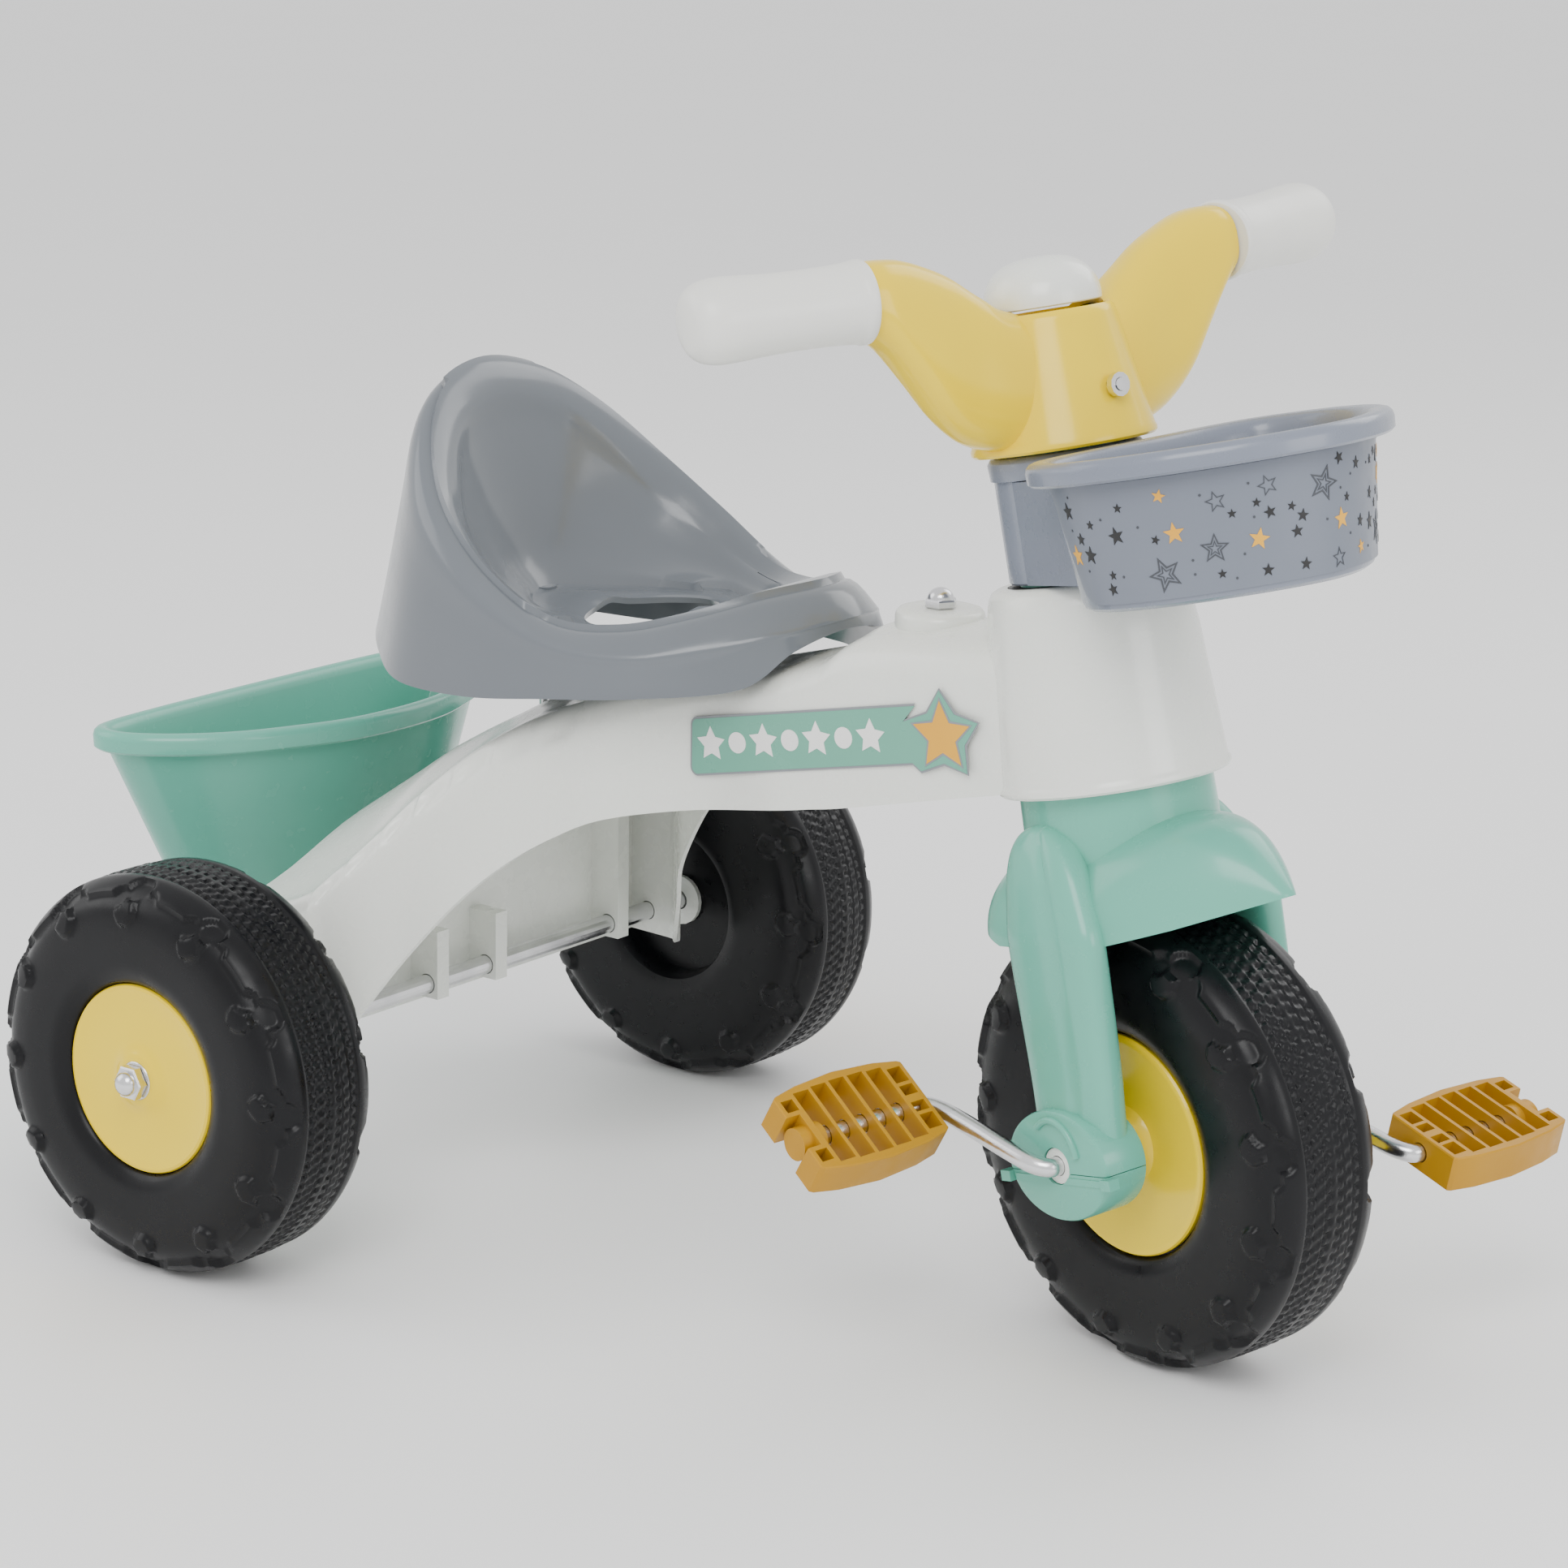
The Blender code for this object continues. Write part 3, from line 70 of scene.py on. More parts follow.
def noise(tree, scale, detail=4.0, stretch=None):
    coords = tree.nodes.new("ShaderNodeTexCoord")
    out = coords.outputs["Object"]
    if stretch:
        mapping = tree.nodes.new("ShaderNodeMapping")
        mapping.inputs["Scale"].default_value = stretch
        tree.links.new(out, mapping.inputs["Vector"])
        out = mapping.outputs["Vector"]
    made = tree.nodes.new("ShaderNodeTexNoise")
    made.inputs["Scale"].default_value = scale
    made.inputs["Detail"].default_value = detail
    tree.links.new(out, made.inputs["Vector"])
    return made.outputs["Fac"]


def ranged(tree, value, low, high, to_low, to_high):
    made = tree.nodes.new("ShaderNodeMapRange")
    for key, number in zip(("From Min", "From Max", "To Min", "To Max"), (low, high, to_low, to_high)):
        made.inputs[key].default_value = number
    tree.links.new(value, made.inputs["Value"])
    return made.outputs["Result"]


def surface(name, light, dark, rough, bump=0.05, grain=900.0, cloud=14.0, metallic=0.0, coat=0.0,
            subsurface=0.0, stretch=None, gloss=0.5):
    """Moulded or plated stock: a slow drift of colour, fine grain, uneven gloss."""
    made, tree, shader = nodes_of(name)
    slow = noise(tree, cloud, 3.0)
    ramp = tree.nodes.new("ShaderNodeValToRGB")
    ramp.color_ramp.elements[0].position = 0.30
    ramp.color_ramp.elements[1].position = 0.70
    ramp.color_ramp.elements[0].color = (*dark, 1)
    ramp.color_ramp.elements[1].color = (*light, 1)
    tree.links.new(slow, ramp.inputs["Fac"])
    tree.links.new(ramp.outputs["Color"], shader.inputs["Base Color"])
    fine = noise(tree, grain, 3.0, stretch)
    middle = noise(tree, cloud * 7, 4.0)
    tree.links.new(ranged(tree, middle, 0.3, 0.7, rough * 0.82, rough * 1.22), shader.inputs["Roughness"])
    bumps = tree.nodes.new("ShaderNodeBump")
    bumps.inputs["Strength"].default_value = bump
    bumps.inputs["Distance"].default_value = 0.0004
    tree.links.new(fine, bumps.inputs["Height"])
    tree.links.new(bumps.outputs["Normal"], shader.inputs["Normal"])
    shader.inputs["Metallic"].default_value = metallic
    shader.inputs["Specular IOR Level"].default_value = gloss
    shader.inputs["Coat Weight"].default_value = coat
    shader.inputs["Coat Roughness"].default_value = 0.12
    if subsurface:
        shader.inputs["Subsurface Weight"].default_value = subsurface
        shader.inputs["Subsurface Radius"].default_value = (0.004, 0.004, 0.003)
    return made


WHITE = surface("white_moulding", (0.80, 0.82, 0.77), (0.78, 0.80, 0.75), 0.26, 0.015, coat=0.35,
                subsurface=0.05)
GRIP = surface("white_grip", (0.80, 0.80, 0.76), (0.76, 0.76, 0.72), 0.38, 0.14, 1400.0, coat=0.1)
MINT = surface("mint_moulding", (0.125, 0.440, 0.335), (0.115, 0.420, 0.318), 0.24, 0.015, coat=0.2,
               gloss=0.4)
YELLOW = surface("yellow_moulding", (0.90, 0.640, 0.001), (0.88, 0.615, 0.001), 0.20, 0.015, coat=0.15,
                 gloss=0.35)
GREY = surface("seat_moulding", (0.140, 0.156, 0.176), (0.134, 0.149, 0.168), 0.20, 0.012, coat=0.3,
               gloss=0.4)
SLATE = surface("basket_moulding", (0.185, 0.208, 0.262), (0.176, 0.198, 0.250), 0.28, 0.02, coat=0.25)
BLACK = surface("tyre_moulding", (0.0055, 0.0057, 0.0070), (0.0035, 0.0036, 0.0045), 0.30, 0.05, 1200.0, 20.0,
                gloss=0.22)
OCHRE = surface("pedal_moulding", (0.47, 0.235, 0.006), (0.42, 0.205, 0.005), 0.38, 0.08, gloss=0.3)
STEEL = surface("plated_steel", (0.78, 0.78, 0.79), (0.64, 0.64, 0.66), 0.22, 0.12, 500.0, 60.0, 1.0,
                stretch=(1, 8, 1))
DARK = surface("black_bush", (0.030, 0.030, 0.030), (0.018, 0.018, 0.018), 0.5, 0.1)
FILM = surface("basket_film", (0.165, 0.185, 0.228), (0.155, 0.174, 0.215), 0.34, 0.03)
MINT_FILM = surface("beam_film", (0.135, 0.395, 0.290), (0.125, 0.370, 0.270), 0.30, 0.03)
EDGE_FILM = surface("beam_film_edge", (0.250, 0.265, 0.285), (0.215, 0.230, 0.250), 0.4, 0.03)
INK_WHITE = surface("white_ink", (0.86, 0.86, 0.84), (0.82, 0.82, 0.80), 0.4, 0.03)
INK_BLACK = surface("black_ink", (0.012, 0.012, 0.013), (0.008, 0.008, 0.008), 0.45, 0.03)
INK_GREY = surface("grey_ink", (0.055, 0.060, 0.070), (0.042, 0.046, 0.055), 0.45, 0.03)
INK_ORANGE = surface("orange_ink", (0.78, 0.40, 0.025), (0.72, 0.34, 0.018), 0.4, 0.03)


# ---------------------------------------------------------------- mesh tools
def piece(name, bm, mat, body, matrix=None, smooth=32, replaces=(), bevel=0.0):
    """A finished piece in world coordinates, riding on its body."""
    if matrix is not None:
        bm.transform(matrix)
    bmesh.ops.recalc_face_normals(bm, faces=bm.faces)
    mesh = bpy.data.meshes.new(name)
    bm.to_mesh(mesh)
    bm.free()
    made = bpy.data.objects.new(name, mesh)
    bpy.context.collection.objects.link(made)
    mesh.materials.append(mat)
    mesh.shade_smooth()
    mesh.set_sharp_from_angle(angle=math.radians(smooth))
    if bevel:
        step = made.modifiers.new("edges", "BEVEL")
        step.width = bevel
        step.segments = 2
        step.limit_method = "ANGLE"
        step.angle_limit = math.radians(40)
        step.harden_normals = True
    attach(made, body)
    if replaces:
        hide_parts(*replaces)
    return made


def solid(bm, matrix=None):
    """A loose shape for a Boolean."""
    if matrix is not None:
        bm.transform(matrix)
    bmesh.ops.recalc_face_normals(bm, faces=bm.faces)
    mesh = bpy.data.meshes.new("shape")
    bm.to_mesh(mesh)
    bm.free()
    made = bpy.data.objects.new("shape", mesh)
    bpy.context.collection.objects.link(made)
    return made


def add(bm, matrix=None):
    return "UNION", solid(bm, matrix)


def cut(bm, matrix=None):
    return "DIFFERENCE", solid(bm, matrix)


def combine(base, steps):
    """Apply Boolean steps to a shape, and return the result as a bmesh."""
    for operation, other in steps:
        step = base.modifiers.new("step", "BOOLEAN")
        step.operation = operation
        step.object = other
        step.solver = "EXACT"
    graph = bpy.context.evaluated_depsgraph_get()
    bpy.context.view_layer.update()
    bm = bmesh.new()
    bm.from_object(base, graph)
    for old in [base] + [other for _, other in steps]:
        mesh = old.data
        bpy.data.objects.remove(old, do_unlink=True)
        bpy.data.meshes.remove(mesh)
    bmesh.ops.remove_doubles(bm, verts=bm.verts, dist=1e-6)
    return bm


def loft(rings, closed=False, caps=True):
    bm = bmesh.new()
    rows = [[bm.verts.new(point) for point in ring] for ring in rings]
    count = len(rows[0])
    pairs = list(zip(rows, rows[1:]))
    if closed:
        pairs.append((rows[-1], rows[0]))
    for low, high in pairs:
        for i in range(count):
            j = (i + 1) % count
            bm.faces.new((low[i], low[j], high[j], high[i]))
    if caps and not closed:
        bm.faces.new(rows[0])
        bm.faces.new(rows[-1])
    return bm


def turned(profile, segments=64, axis="Z", closed=True):
    def place(radius, height, angle):
        angle += 0.05
        across, along = radius * math.cos(angle), radius * math.sin(angle)
        return (across, along, height) if axis == "Z" else (across, height, along)

    bm = bmesh.new()
    columns = []
    for radius, height in profile:
        if radius == 0:
            columns.append([bm.verts.new(place(0, height, 0))])
        else:
            columns.append([bm.verts.new(place(radius, height, 2 * math.pi * i / segments))
                            for i in range(segments)])
    pairs = list(zip(columns, columns[1:]))
    if closed:
        pairs.append((columns[-1], columns[0]))
    for a, b in pairs:
        if len(a) == 1 and len(b) == 1:
            continue
        for i in range(segments):
            j = (i + 1) % segments
            if len(a) == 1:
                bm.faces.new((a[0], b[i], b[j]))
            elif len(b) == 1:
                bm.faces.new((a[i], a[j], b[0]))
            else:
                bm.faces.new((a[i], a[j], b[j], b[i]))
    return bm


def boxes(pairs):
    bm = bmesh.new()
    for low, high in pairs:
        centre, size = (Vector(low) + Vector(high)) / 2, Vector(high) - Vector(low)
        matrix = Matrix.Translation(centre) @ Matrix.Diagonal((*size, 1.0))
        bmesh.ops.create_cube(bm, size=1.0, matrix=matrix)
    return bm


def rod(radius, start, end, segments=32):
    bm = bmesh.new()
    start, end = Vector(start), Vector(end)
    along = end - start
    matrix = Matrix.Translation((start + end) / 2) @ along.to_track_quat("Z", "Y").to_matrix().to_4x4()
    bmesh.ops.create_cone(bm, cap_ends=True, segments=segments, radius1=radius, radius2=radius,
                          depth=along.length, matrix=matrix)
    return bm


def spline(points, steps, closed=False):
    """Catmull-Rom through rows of numbers."""
    points = [np.array(point, float) for point in points]
    count = len(points)
    out = []
    for i in range(count if closed else count - 1):
        if closed:
            a, b, c, d = (points[(i + k) % count] for k in (-1, 0, 1, 2))
        else:
            b, c = points[i], points[i + 1]
            a = points[i - 1] if i else 2 * b - c
            d = points[i + 2] if i + 2 < count else 2 * c - b
        for step in range(steps):
            t = step / steps
            out.append(0.5 * (2 * b + (c - a) * t + (2 * a - 5 * b + 4 * c - d) * t * t
                              + (3 * b - a - 3 * c + d) * t ** 3))
    if not closed:
        out.append(points[-1])
    return out


def resample(points, count):
    """Points at equal distances along a line of points."""
    points = np.array(points)
    lengths = np.r_[0, np.cumsum(np.linalg.norm(np.diff(points, axis=0), axis=1))]
    at = np.linspace(0, lengths[-1], count)
    return np.stack([np.interp(at, lengths, points[:, k]) for k in range(points.shape[1])], 1)


def at_height(outline, z):
    """An outline in x and y, as a ring at one height."""
    return [Vector((x, y, z)) for x, y in outline]


def facing(profile, side):
    """A profile of (radius, distance out), on the left or the right."""
    return [(radius, side * out) for radius, out in profile]


def mirrored(half):
    return half + [(x, -y) for x, y in reversed(half[1:-1])]


def oval(cx, cy, hx, hy, count, power=2.0):
    out = []
    for i in range(count):
        c, s = math.cos(2 * math.pi * i / count), math.sin(2 * math.pi * i / count)
        out.append((cx + hx * math.copysign(abs(c) ** (2 / power), c),
                    cy + hy * math.copysign(abs(s) ** (2 / power), s)))
    return out


def inset(outline, distance):
    count = len(outline)
    area = sum(outline[i][0] * outline[(i + 1) % count][1]
               - outline[(i + 1) % count][0] * outline[i][1] for i in range(count))
    side = 1 if area > 0 else -1
    out = []
    for i in range(count):
        tangent = Vector(outline[(i + 1) % count]) - Vector(outline[i - 1])
        tangent.normalize()
        out.append((outline[i][0] - side * tangent.y * distance,
                    outline[i][1] + side * tangent.x * distance))
    return out


def sweep(points, radius, sides=20):
    points = [Vector(point) for point in points]
    rings, normal = [], None
    for i, point in enumerate(points):
        ahead = (points[min(i + 1, len(points) - 1)] - points[max(i - 1, 0)]).normalized()
        if normal is None:
            normal = ahead.orthogonal().normalized()
        normal = (normal - ahead * normal.dot(ahead)).normalized()
        other = ahead.cross(normal)
        rings.append([point + radius * (math.cos(a) * normal + math.sin(a) * other)
                      for a in (2 * math.pi * k / sides for k in range(sides))])
    return loft(rings)


def step_up(value, low, high):
    t = min(1.0, max(0.0, (value - low) / (high - low)))
    return t * t * (3 - 2 * t)


def star(outer, inner, points=5, turn=0.0):
    return [((outer if i % 2 == 0 else inner) * math.cos(math.pi / 2 + turn + math.pi * i / points),
             (outer if i % 2 == 0 else inner) * math.sin(math.pi / 2 + turn + math.pi * i / points))
            for i in range(2 * points)]


# ---------------------------------------------------------------- frame
FRAME_STATIONS = [
    (0.3700, 0.0400, 0.2670, 0.3250, 0.3330, 0.3350),
    (0.3300, 0.0440, 0.2580, 0.3220, 0.3330, 0.3360),
    (0.2800, 0.0450, 0.2460, 0.3150, 0.3260, 0.3300),
    (0.2600, 0.0450, 0.2420, 0.3050, 0.3140, 0.3170),
    (0.2400, 0.0450, 0.2380, 0.2980, 0.3070, 0.3100),
    (0.1870, 0.0450, 0.2290, 0.2850, 0.2930, 0.2960),
    (0.1500, 0.0660, 0.2220, 0.2720, 0.2850, 0.2890),
    (0.1250, 0.0750, 0.2100, 0.2620, 0.2750, 0.2800),
    (0.1020, 0.0850, 0.1940, 0.2500, 0.2640, 0.2750),
    (0.0810, 0.0970, 0.1730, 0.2360, 0.2490, 0.2660),
    (0.0600, 0.1100, 0.1450, 0.2160, 0.2280, 0.2550),
    (0.0465, 0.1250, 0.1200, 0.1980, 0.2090, 0.2480),
    (0.0320, 0.1400, 0.0930, 0.1800, 0.1900, 0.2400),
    (0.0200, 0.1550, 0.0880, 0.1660, 0.1770, 0.2320),
    (-0.0180, 0.1580, 0.0880, 0.1580, 0.1680, 0.2040),
]
RIDGE_IN = 0.018      # how far the ridge lies inside the deck's edge
SLOT_X = 0.128        # middle of the slot in the seat


def frame_side(station, scoop, wall=0.0, drop=0.0):
    """Half a section from the hem up to the deck's middle, as (y, z)."""
    x, half, low, shoulder, ridge, crown = station
    half, shoulder, ridge, crown, low = (half - wall, shoulder - 0.6 * wall, ridge - wall,
                                         crown - wall, low - drop)
    edge = half - RIDGE_IN
    rise = max(ridge - shoulder, 0.004)
    points = [(half, low), (half, low + 0.3 * (shoulder - low)), (half, low + 0.7 * (shoulder - low)),
              (half - 0.0002, shoulder - 0.0065), (half - 0.0012 - scoop, shoulder - 0.0010),
              (half - 0.0050 - 0.8 * scoop, shoulder + 0.52 * rise), (half - 0.0110, shoulder + 0.84 * rise),
              (edge, ridge), (0.78 * edge, ridge + 0.25 * (crown - ridge)),
              (0.5 * edge, ridge + 0.68 * (crown - ridge)), (0.25 * edge, ridge + 0.93 * (crown - ridge)),
              (0.0, crown)]
    return spline(points, 3)


def frame_rings(wall, drop, first, last, count, scoops):
    stations = spline(FRAME_STATIONS, 12)
    stations = [s for s in stations if last <= s[0] <= first]
    stations = resample(stations, count)
    rings, run, before = [], 0.0, None
    for s in stations[::-1]:
        here = np.array([s[0], s[1], s[3]])
        run += 0.0 if before is None else float(np.linalg.norm(here - before))
        before = here
        wave = (run - 0.006) / 0.0235
        scoop = 0.0
        if scoops and 0 < wave < 9:
            scoop = 0.0034 * abs(math.sin(math.pi * wave)) ** 0.7 * (1.0 if wave < 7 else 0.5)
        half = [Vector((s[0], y, z)) for y, z in frame_side(s, scoop, wall, drop)]
        rings.append(half + [Vector((p.x, -p.y, p.z)) for p in reversed(half[:-1])])
    return rings


def build_frame():
    outer = solid(loft(frame_rings(0, 0, 0.370, -0.018, 150, True)), ORIGIN)
    hollow = solid(loft(frame_rings(0.0035, 0.05, 0.322, -0.0145, 60, False)), ORIGIN)
    neck = [(0, NECK_LOW), (0.0530, NECK_LOW), (0.0543, NECK_LOW + 0.0012), (0.0545, NECK_LOW + 0.0030),
            (0.0536, NECK_LOW + 0.0045), (0.0532, NECK_LOW + 0.0060), (0.0492, 0.2350),
            (0.0468, 0.2520), (0.0456, 0.2575), (0.0436, 0.2606), (0.0405, NECK_TOP), (0, NECK_TOP)]
    steps = [("DIFFERENCE", hollow), add(turned(neck, 96, closed=False), NECK)]
    ribs = []
    for y, top in ((-0.1240, 0.1640), (-0.0230, 0.1290), (0.0230, 0.1290), (0.1240, 0.1640)):
        ribs.append(((-0.0165, y - 0.0045, 0.0925), (0.0072, y + 0.0045, top)))
    steps.append(add(boxes(ribs), ORIGIN))
    steps.append(add(boxes([((-0.1140, -0.0520, 0.0900), (-0.0155, 0.0520, 0.0950))]), ORIGIN))
    lugs = [((PIVOT_X - 0.012, side * 0.043 - 0.003, 0.0920),
             (PIVOT_X + 0.012, side * 0.043 + 0.003, PIVOT_Z + 0.011)) for side in (-1, 1)]
    steps.append(add(boxes(lugs), ORIGIN))
    pad = [(0, 0.3225), (0.0215, 0.3225), (0.0215, 0.3350), (0.0211, 0.3368), (0.0198, 0.3383),
           (0.0172, 0.3390), (0.0120, 0.3391), (0, 0.3391)]
    at_bolt = ORIGIN @ Matrix.Translation((CAP_BOLT_X, 0, 0))
    steps.append(add(turned(pad, 48, closed=False), at_bolt))
    saddle = [at_height(oval(SLOT_X, 0, 0.0330 * f, 0.0470 * f, 48), z)
              for z, f in ((0.2700, 1.0), (0.2925, 1.0), (0.2945, 0.975), (0.2953, 0.92))]
    steps.append(add(loft(saddle), ORIGIN))
    steps.append(cut(rod(0.0053, (0, -0.2, REAR_R), (0, 0.2, REAR_R)), ORIGIN))
    steps.append(cut(rod(0.0035, (CAP_BOLT_X, 0, 0.30), (CAP_BOLT_X, 0, 0.36)), ORIGIN))
    steps.append(cut(rod(NECK_BORE, (0, 0, 0.14), (0, 0, 0.28), 64), NECK))
    piece("frame_body", combine(outer, steps), WHITE, "frame", smooth=38,
          replaces=["frame_shell"])


# ---------------------------------------------------------------- seat
SEAT_SPOKES = [
    [(0.247, 0, 0.3205), (0.251, 0, 0.3285), (0.238, 0, 0.3400), (0.218, 0, 0.3365), (0.192, 0, 0.3200)],
    [(0.243, 0.036, 0.3145), (0.237, 0.037, 0.3245), (0.224, 0.034, 0.3365), (0.206, 0.031, 0.3320),
     (0.182, 0.020, 0.3180)],
    [(0.226, 0.056, 0.2970), (0.211, 0.064, 0.3180), (0.200, 0.058, 0.3280), (0.186, 0.050, 0.3225),
     (0.170, 0.032, 0.3150)],
    [(0.184, 0.085, 0.2910), (0.179, 0.086, 0.3120), (0.170, 0.078, 0.3205), (0.160, 0.068, 0.3165),
     (0.152, 0.045, 0.3135)],
    [(0.142, 0.101, 0.2875), (0.141, 0.100, 0.3160), (0.136, 0.091, 0.3225), (0.132, 0.081, 0.3175),
     (0.130, 0.050, 0.3130)],
    [(0.096, 0.106, 0.2825), (0.098, 0.103, 0.3360), (0.098, 0.095, 0.3430), (0.099, 0.085, 0.3330),
     (0.106, 0.050, 0.3130)],
    [(0.046, 0.098, 0.2810), (0.060, 0.094, 0.3620), (0.064, 0.086, 0.3690), (0.067, 0.076, 0.3570),
     (0.084, 0.041, 0.3135)],
    [(0.010, 0.073, 0.2860), (0.032, 0.072, 0.3900), (0.039, 0.066, 0.3960), (0.044, 0.057, 0.3860),
     (0.068, 0.028, 0.3145)],
    [(-0.022, 0.039, 0.2910), (0.014, 0.041, 0.4100), (0.022, 0.038, 0.4160), (0.030, 0.033, 0.4050),
     (0.057, 0.015, 0.3160)],
    [(-0.040, 0, 0.2930), (0.008, 0, 0.4200), (0.017, 0, 0.4240), (0.026, 0, 0.4130),
     (0.053, 0, 0.3170)],
]
SLOT_HALF = [(0.156, 0), (0.1535, 0.018), (0.1445, 0.034), (0.128, 0.042), (0.1115, 0.034),
             (0.1025, 0.018), (0.100, 0)]


def reach(outline, centre, toward):
    heading = (toward - centre).xy
    for a, b in zip(outline, outline[1:] + outline[:1]):
        start, side = (a - centre).xy, (b - a).xy
        turn = heading.x * side.y - heading.y * side.x
        if abs(turn) < 1e-12:
            continue
        along = (start.x * side.y - start.y * side.x) / turn
        share = (start.x * heading.y - start.y * heading.x) / turn
        if along > 0 and -1e-9 <= share <= 1 + 1e-9:
            return centre.xy + heading * along
    return toward.xy


def build_seat():
    wall = 0.0032
    around = SEAT_SPOKES + [[(x, -y, z) for x, y, z in s] for s in reversed(SEAT_SPOKES[1:-1])]
    levels = [[Vector(p) for p in spline(level, 7, True)] for level in zip(*around)]
    centre = Vector((SLOT_X, 0, 0))
    slot = [Vector((p[0], p[1], 0)) for p in spline(mirrored(SLOT_HALF), 10, True)]
    rings = []
    for spoke in zip(*levels):
        hem, crease, crest, inside, floor = spoke
        edge = reach(slot, centre, floor)
        inner = Vector((edge.x, edge.y, floor.z - 0.0015))
        out = (hem - centre).xy.normalized().to_3d()
        top = spline([inner, inner.lerp(floor, 0.25) + Vector((0, 0, 0.0006)), floor,
                      floor.lerp(inside, 0.45) - Vector((0, 0, 0.0045)) + out * 0.004,
                      floor.lerp(inside, 0.8) + out * 0.0035, inside,
                      crest - out * 0.0005, crease + out * 0.0002, crease.lerp(hem, 0.3)
                      + out * 0.0004, hem.lerp(crease, 0.2), hem], 4)
        top = [Vector(p) for p in top]
        low = []
        for i, point in enumerate(top):
            tangent = top[min(i + 1, len(top) - 1)] - top[max(i - 1, 0)]
            side = out.cross(Vector((0, 0, 1)))
            normal = tangent.cross(side).normalized()
            if i < 8 and normal.z > 0 or i >= 8 and normal.dot(out) > 0:
                normal = -normal
            low.append(point + normal * wall)
        rings.append(top + low[::-1])
    bm = loft(rings, closed=True)
    piece("seat_body", bm, GREY, "frame", ORIGIN, 45, ["seat"])
    for name, x, low, top in (("front", 0.0560, 0.2613, 0.3155), ("rear", 0.2050, 0.3058, 0.3240)):
        post = rod(0.0070, (x, 0, low), (x, 0, top))
        piece("seat_post_" + name, post, GREY, "frame", ORIGIN, 45)


# ---------------------------------------------------------------- rear bucket and basket
BUCKET_RIM = [(-0.0400, 0), (-0.0430, 0.0350), (-0.0530, 0.0650), (-0.0660, 0.0930),
              (-0.0850, 0.1170), (-0.1080, 0.1340), (-0.1270, 0.1360), (-0.1390, 0.1240),
              (-0.1430, 0.0800), (-0.1440, 0)]
BUCKET_FOOT = [(-0.0680, 0), (-0.0690, 0.0260), (-0.0740, 0.0480), (-0.0820, 0.0660),
               (-0.0920, 0.0790), (-0.1050, 0.0870), (-0.1170, 0.0870), (-0.1250, 0.0790),
               (-0.1280, 0.0520), (-0.1280, 0)]
BASKET_RIM = [(0.0440, 0), (0.0440, 0.0450), (0.0550, 0.0720), (0.0830, 0.0860), (0.1120, 0.0850),
              (0.1400, 0.0715), (0.1620, 0.0490), (0.1760, 0.0250), (0.1815, 0)]
BASKET_LIP, BASKET_TAPER, BASKET_WALL = 0.0100, 0.0065, 0.0025


def plan(half, steps):
    return [(p[0], p[1]) for p in spline(mirrored(half), steps, True)]


def tub(rim, foot, low, top, lip, lip_height, wall):
    """An open tub with a rolled rim: rings from the underside over the rim to the floor."""
    levels = [(inset(foot, 0.0090), low), (inset(foot, 0.0040), low + 0.0004),
              (inset(foot, 0.0012), low + 0.0020), (foot, low + 0.0050)]
    under = inset(rim, lip)
    levels += [(under, top - lip_height), (inset(rim, 0.0016), top - lip_height),
               (inset(rim, 0.0003), top - lip_height + 0.0012), (rim, top - 0.0045),
               (inset(rim, 0.0006), top - 0.0022), (inset(rim, 0.0022), top - 0.0006),
               (inset(rim, 0.0042), top), (inset(rim, lip - 0.0004), top - 0.0006),
               (inset(rim, lip + wall * 0.6), top - 0.0024), (inset(rim, lip + wall), top - 0.0060),
               (inset(foot, wall), low + 0.0075), (inset(foot, wall + 0.0016), low + 0.0045),
               (inset(foot, wall + 0.0050), low + 0.0030)]
    return [at_height(outline, z) for outline, z in levels]


def build_bucket():
    rim, foot = plan(BUCKET_RIM, 10), plan(BUCKET_FOOT, 10)
    bm = loft(tub(rim, foot, BUCKET_LOW, BUCKET_TOP, 0.0070, 0.0115, 0.0030))
    lugs = [((PIVOT_X - 0.009, side * 0.036 - 0.003, PIVOT_Z - 0.0080),
             (PIVOT_X + 0.009, side * 0.036 + 0.003, PIVOT_Z + 0.0180)) for side in (-1, 1)]
    bore = rod(0.0043, (PIVOT_X, -0.06, PIVOT_Z), (PIVOT_X, 0.06, PIVOT_Z))
    body = combine(solid(bm, ORIGIN), [add(boxes(lugs), ORIGIN), cut(bore, ORIGIN)])
    piece("bucket_body", body, MINT, "bucket", smooth=38, replaces=["rear_bucket"])


